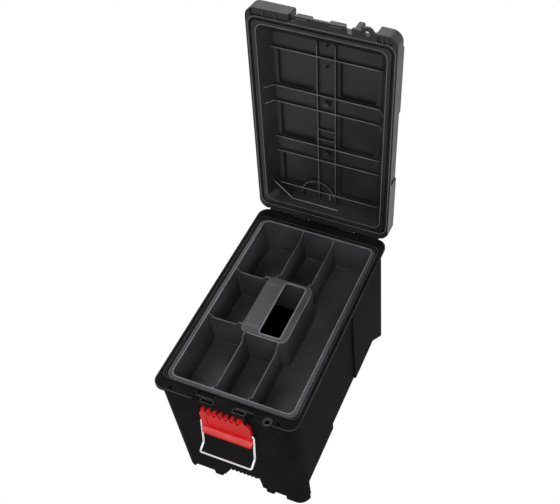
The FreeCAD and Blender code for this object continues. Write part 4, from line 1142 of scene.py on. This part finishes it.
@dataclass
class WireBail:
    """The bent steel wire that hooks over the lid.

    Each bend gives how far the wire stands out in front of its pivot and hangs below it.
    """

    pivot: tuple[float, float] = (-206.2, 223)
    arm_x: float = 47.5
    inner_x: float = 40.5
    radius: float = 2.0
    bends: tuple = ((0, 0), (10.8, 57.5), (20.8, 63.2), (26.3, 65.9))
    rounding: tuple = (3, 7.5, 3.75, 3.75)
    longest_trim: float = 0.45
    shortest_step: float = 1e-6
    wire_sides: int = 20
    upright: tuple[float, float, float] = (0.02, 0.35, 0.94)

    def corners(self) -> np.ndarray:
        """Corner points of the wire from one pivot end to the other, in metres.

        Returns:
            The corner points, from right to left.
        """
        places = [(self.pivot[0] - out, self.pivot[1] - drop) for out, drop in self.bends]
        right = [(self.inner_x, *places[0])] + [(self.arm_x, *place) for place in places]
        left = [(-x, y, z) for x, y, z in reversed(right)]
        return np.array(right + left) * MM

    def path(self, steps: int = 8) -> np.ndarray:
        """Rounded route: each corner is cut by a tangent arc of its own radius.

        Args:
            steps: Points in each arc.

        Returns:
            Points of the route.
        """
        corners = self.corners()
        radii = self.rounding + self.rounding[::-1]
        points = [corners[:1]]
        for before, corner, after, radius in zip(corners, corners[1:], corners[2:], radii):
            inward = before - corner
            outward = after - corner
            reach = self.longest_trim * min(np.linalg.norm(inward), np.linalg.norm(outward))
            inward /= np.linalg.norm(inward)
            outward /= np.linalg.norm(outward)
            half = math.acos(float(np.clip(inward @ outward, -1, 1))) / 2
            trim = min(radius * MM / math.tan(half), reach)
            bend = trim * math.tan(half)
            middle = (inward + outward) / np.linalg.norm(inward + outward)
            centre = corner + middle * bend / math.sin(half)
            first = corner + inward * trim - centre
            sweep = math.pi - 2 * half
            last = corner + outward * trim - centre
            share = np.linspace(0, 1, steps)[:, None]
            arc = (np.sin((1 - share) * sweep) * first + np.sin(share * sweep) * last)
            points.append(centre + arc / math.sin(sweep))
        points.append(corners[-1:])
        return np.concatenate(points)

    def build(self) -> None:
        """Sweep the wire's round section along its route."""
        path = self.path()
        steps = np.linalg.norm(np.diff(path, axis=0), axis=1)
        keep = np.concatenate([[True], steps > self.shortest_step])
        section = circle_profile(self.radius * MM, self.wire_sides)
        piece = swept("bail_wire", path[keep], section, False, self.upright)
        dress(piece, PLATED_STEEL, "bail", "steel")
        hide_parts("latch_bail")


@dataclass
class PhotoCamera:
    """The photograph's camera: place, turn, lens and shift.

    The place is in millimetres, the turns in degrees, the focal length and middle in pixels.
    """

    place: tuple[float, float, float] = (459.73, -725.28, 1441.29)
    yaw: float = 20.66
    pitch: float = 50.21
    roll: float = -0.3
    focal: float = 831.14
    middle: tuple[float, float] = (378.39, 253.77)
    sensor: float = 36.0
    clip: tuple[float, float] = (0.05, 60)

    def build(self) -> None:
        """Make the camera and give it to the scene."""
        yaw, pitch, roll = (math.radians(a) for a in (self.yaw, self.pitch, self.roll))
        ahead = Vector((-math.sin(yaw) * math.cos(pitch), math.cos(yaw) * math.cos(pitch),
                        -math.sin(pitch)))
        level = ahead.cross(Vector((0, 0, 1))).normalized()
        over = level.cross(ahead)
        right = math.cos(roll) * level + math.sin(roll) * over
        up = -math.sin(roll) * level + math.cos(roll) * over
        turn = Matrix((right, up, -ahead)).transposed().to_4x4()
        lens = bpy.data.cameras.new("photo_camera")
        lens.sensor_width = self.sensor
        lens.lens = self.focal / PHOTO_WIDTH * self.sensor
        lens.shift_x = (PHOTO_WIDTH / 2 - self.middle[0]) / PHOTO_WIDTH
        lens.shift_y = (self.middle[1] - PHOTO_HEIGHT / 2) / PHOTO_WIDTH
        lens.clip_start, lens.clip_end = self.clip
        camera = bpy.data.objects.new("photo_camera", lens)
        camera.matrix_world = Matrix.Translation(Vector(self.place) * MM) @ turn
        bpy.context.scene.collection.objects.link(camera)
        bpy.context.scene.camera = camera


@dataclass
class Studio:
    """White floor, which is the backdrop too, soft lamps and a pale world.

    Each lamp is its name, place, target, size in metres and power in watts.
    """

    floor_half: float = 8.0
    floor_tone: float = 0.8
    fill: float = 0.6
    lamps: tuple = (
        ("rear_softbox", (-0.9, 2.3, 2.9), (0, 0.1, 0.3), 1.8, 60),
        ("right_lamp", (2.6, 0.6, 1.5), (0, 0.2, 0.45), 1.0, 12),
        ("front_lamp", (0.6, -2.4, 2.2), (0, 0, 0.3), 1.8, 30),
    )

    def seen_directly(self, tree: bpy.types.NodeTree) -> bpy.types.NodeSocket:
        """Socket that is one for what the camera sees straight, mirrored or through glass.

        Args:
            tree: Node tree of the floor or the world.

        Returns:
            The socket.
        """
        path = tree.nodes.new("ShaderNodeLightPath")
        seen = path.outputs["Is Camera Ray"]
        for name in ("Is Glossy Ray", "Is Transmission Ray"):
            either = tree.nodes.new("ShaderNodeMath")
            either.operation = "MAXIMUM"
            tree.links.new(seen, either.inputs[0])
            tree.links.new(path.outputs[name], either.inputs[1])
            seen = either.outputs[0]
        return seen

    def world(self) -> bpy.types.World:
        """World that is white to the camera and in reflections, and softer as a light.

        Returns:
            The world.
        """
        made = bpy.data.worlds.new("studio_world")
        made.use_nodes = True
        tree = made.node_tree
        strength = tree.nodes.new("ShaderNodeMapRange")
        strength.inputs["To Min"].default_value = self.fill
        strength.inputs["To Max"].default_value = 1.0
        tree.links.new(self.seen_directly(tree), strength.inputs["Value"])
        back = tree.nodes["Background"]
        back.inputs["Color"].default_value = (1, 1, 1, 1)
        tree.links.new(strength.outputs["Result"], back.inputs["Strength"])
        return made

    def backdrop_material(self) -> bpy.types.Material:
        """White to the camera and in reflections, a pale diffuse floor to everything else.

        Returns:
            The floor's material.
        """
        made = bpy.data.materials.new("studio_white")
        made.use_nodes = True
        nodes = made.node_tree.nodes
        links = made.node_tree.links
        nodes.clear()
        floor = nodes.new("ShaderNodeBsdfDiffuse")
        floor.inputs["Color"].default_value = (*[self.floor_tone] * 3, 1)
        white = nodes.new("ShaderNodeEmission")
        white.inputs["Strength"].default_value = 1.0
        mixed = nodes.new("ShaderNodeMixShader")
        links.new(self.seen_directly(made.node_tree), mixed.inputs["Fac"])
        links.new(floor.outputs[0], mixed.inputs[1])
        links.new(white.outputs[0], mixed.inputs[2])
        output = nodes.new("ShaderNodeOutputMaterial")
        links.new(mixed.outputs[0], output.inputs["Surface"])
        return made

    def build(self) -> None:
        """Make the floor, the world and the lamps."""
        reach = self.floor_half
        corners = np.array([(-reach, -reach, 0), (reach, -reach, 0), (reach, reach, 0),
                            (-reach, reach, 0)], float)
        floor = new_piece("studio_floor", corners, [(0, 1, 2, 3)])
        floor.data.materials.append(self.backdrop_material())
        bpy.context.scene.world = self.world()
        for name, place, target, size, power in self.lamps:
            light = bpy.data.lights.new(name, "AREA")
            light.size = size
            light.energy = power
            lamp = bpy.data.objects.new(name, light)
            lamp.location = place
            aim = Vector(target) - Vector(place)
            lamp.rotation_euler = aim.to_track_quat("-Z", "Y").to_euler()
            bpy.context.scene.collection.objects.link(lamp)


def main() -> None:
    """Build the studio, the camera and every sub-assembly of the toolbox."""
    logging.basicConfig(level=logging.INFO)
    view = bpy.context.scene.view_settings
    view.view_transform = "Standard"
    Studio().build()
    PhotoCamera().build()
    MouldedShells().build()
    LidDetails().build()
    RibBeads().build()
    LidSeal().build()
    TrayDetails().build()
    DeckDetails().build()
    WireBail().build()


if __name__ == "__main__":
    main()
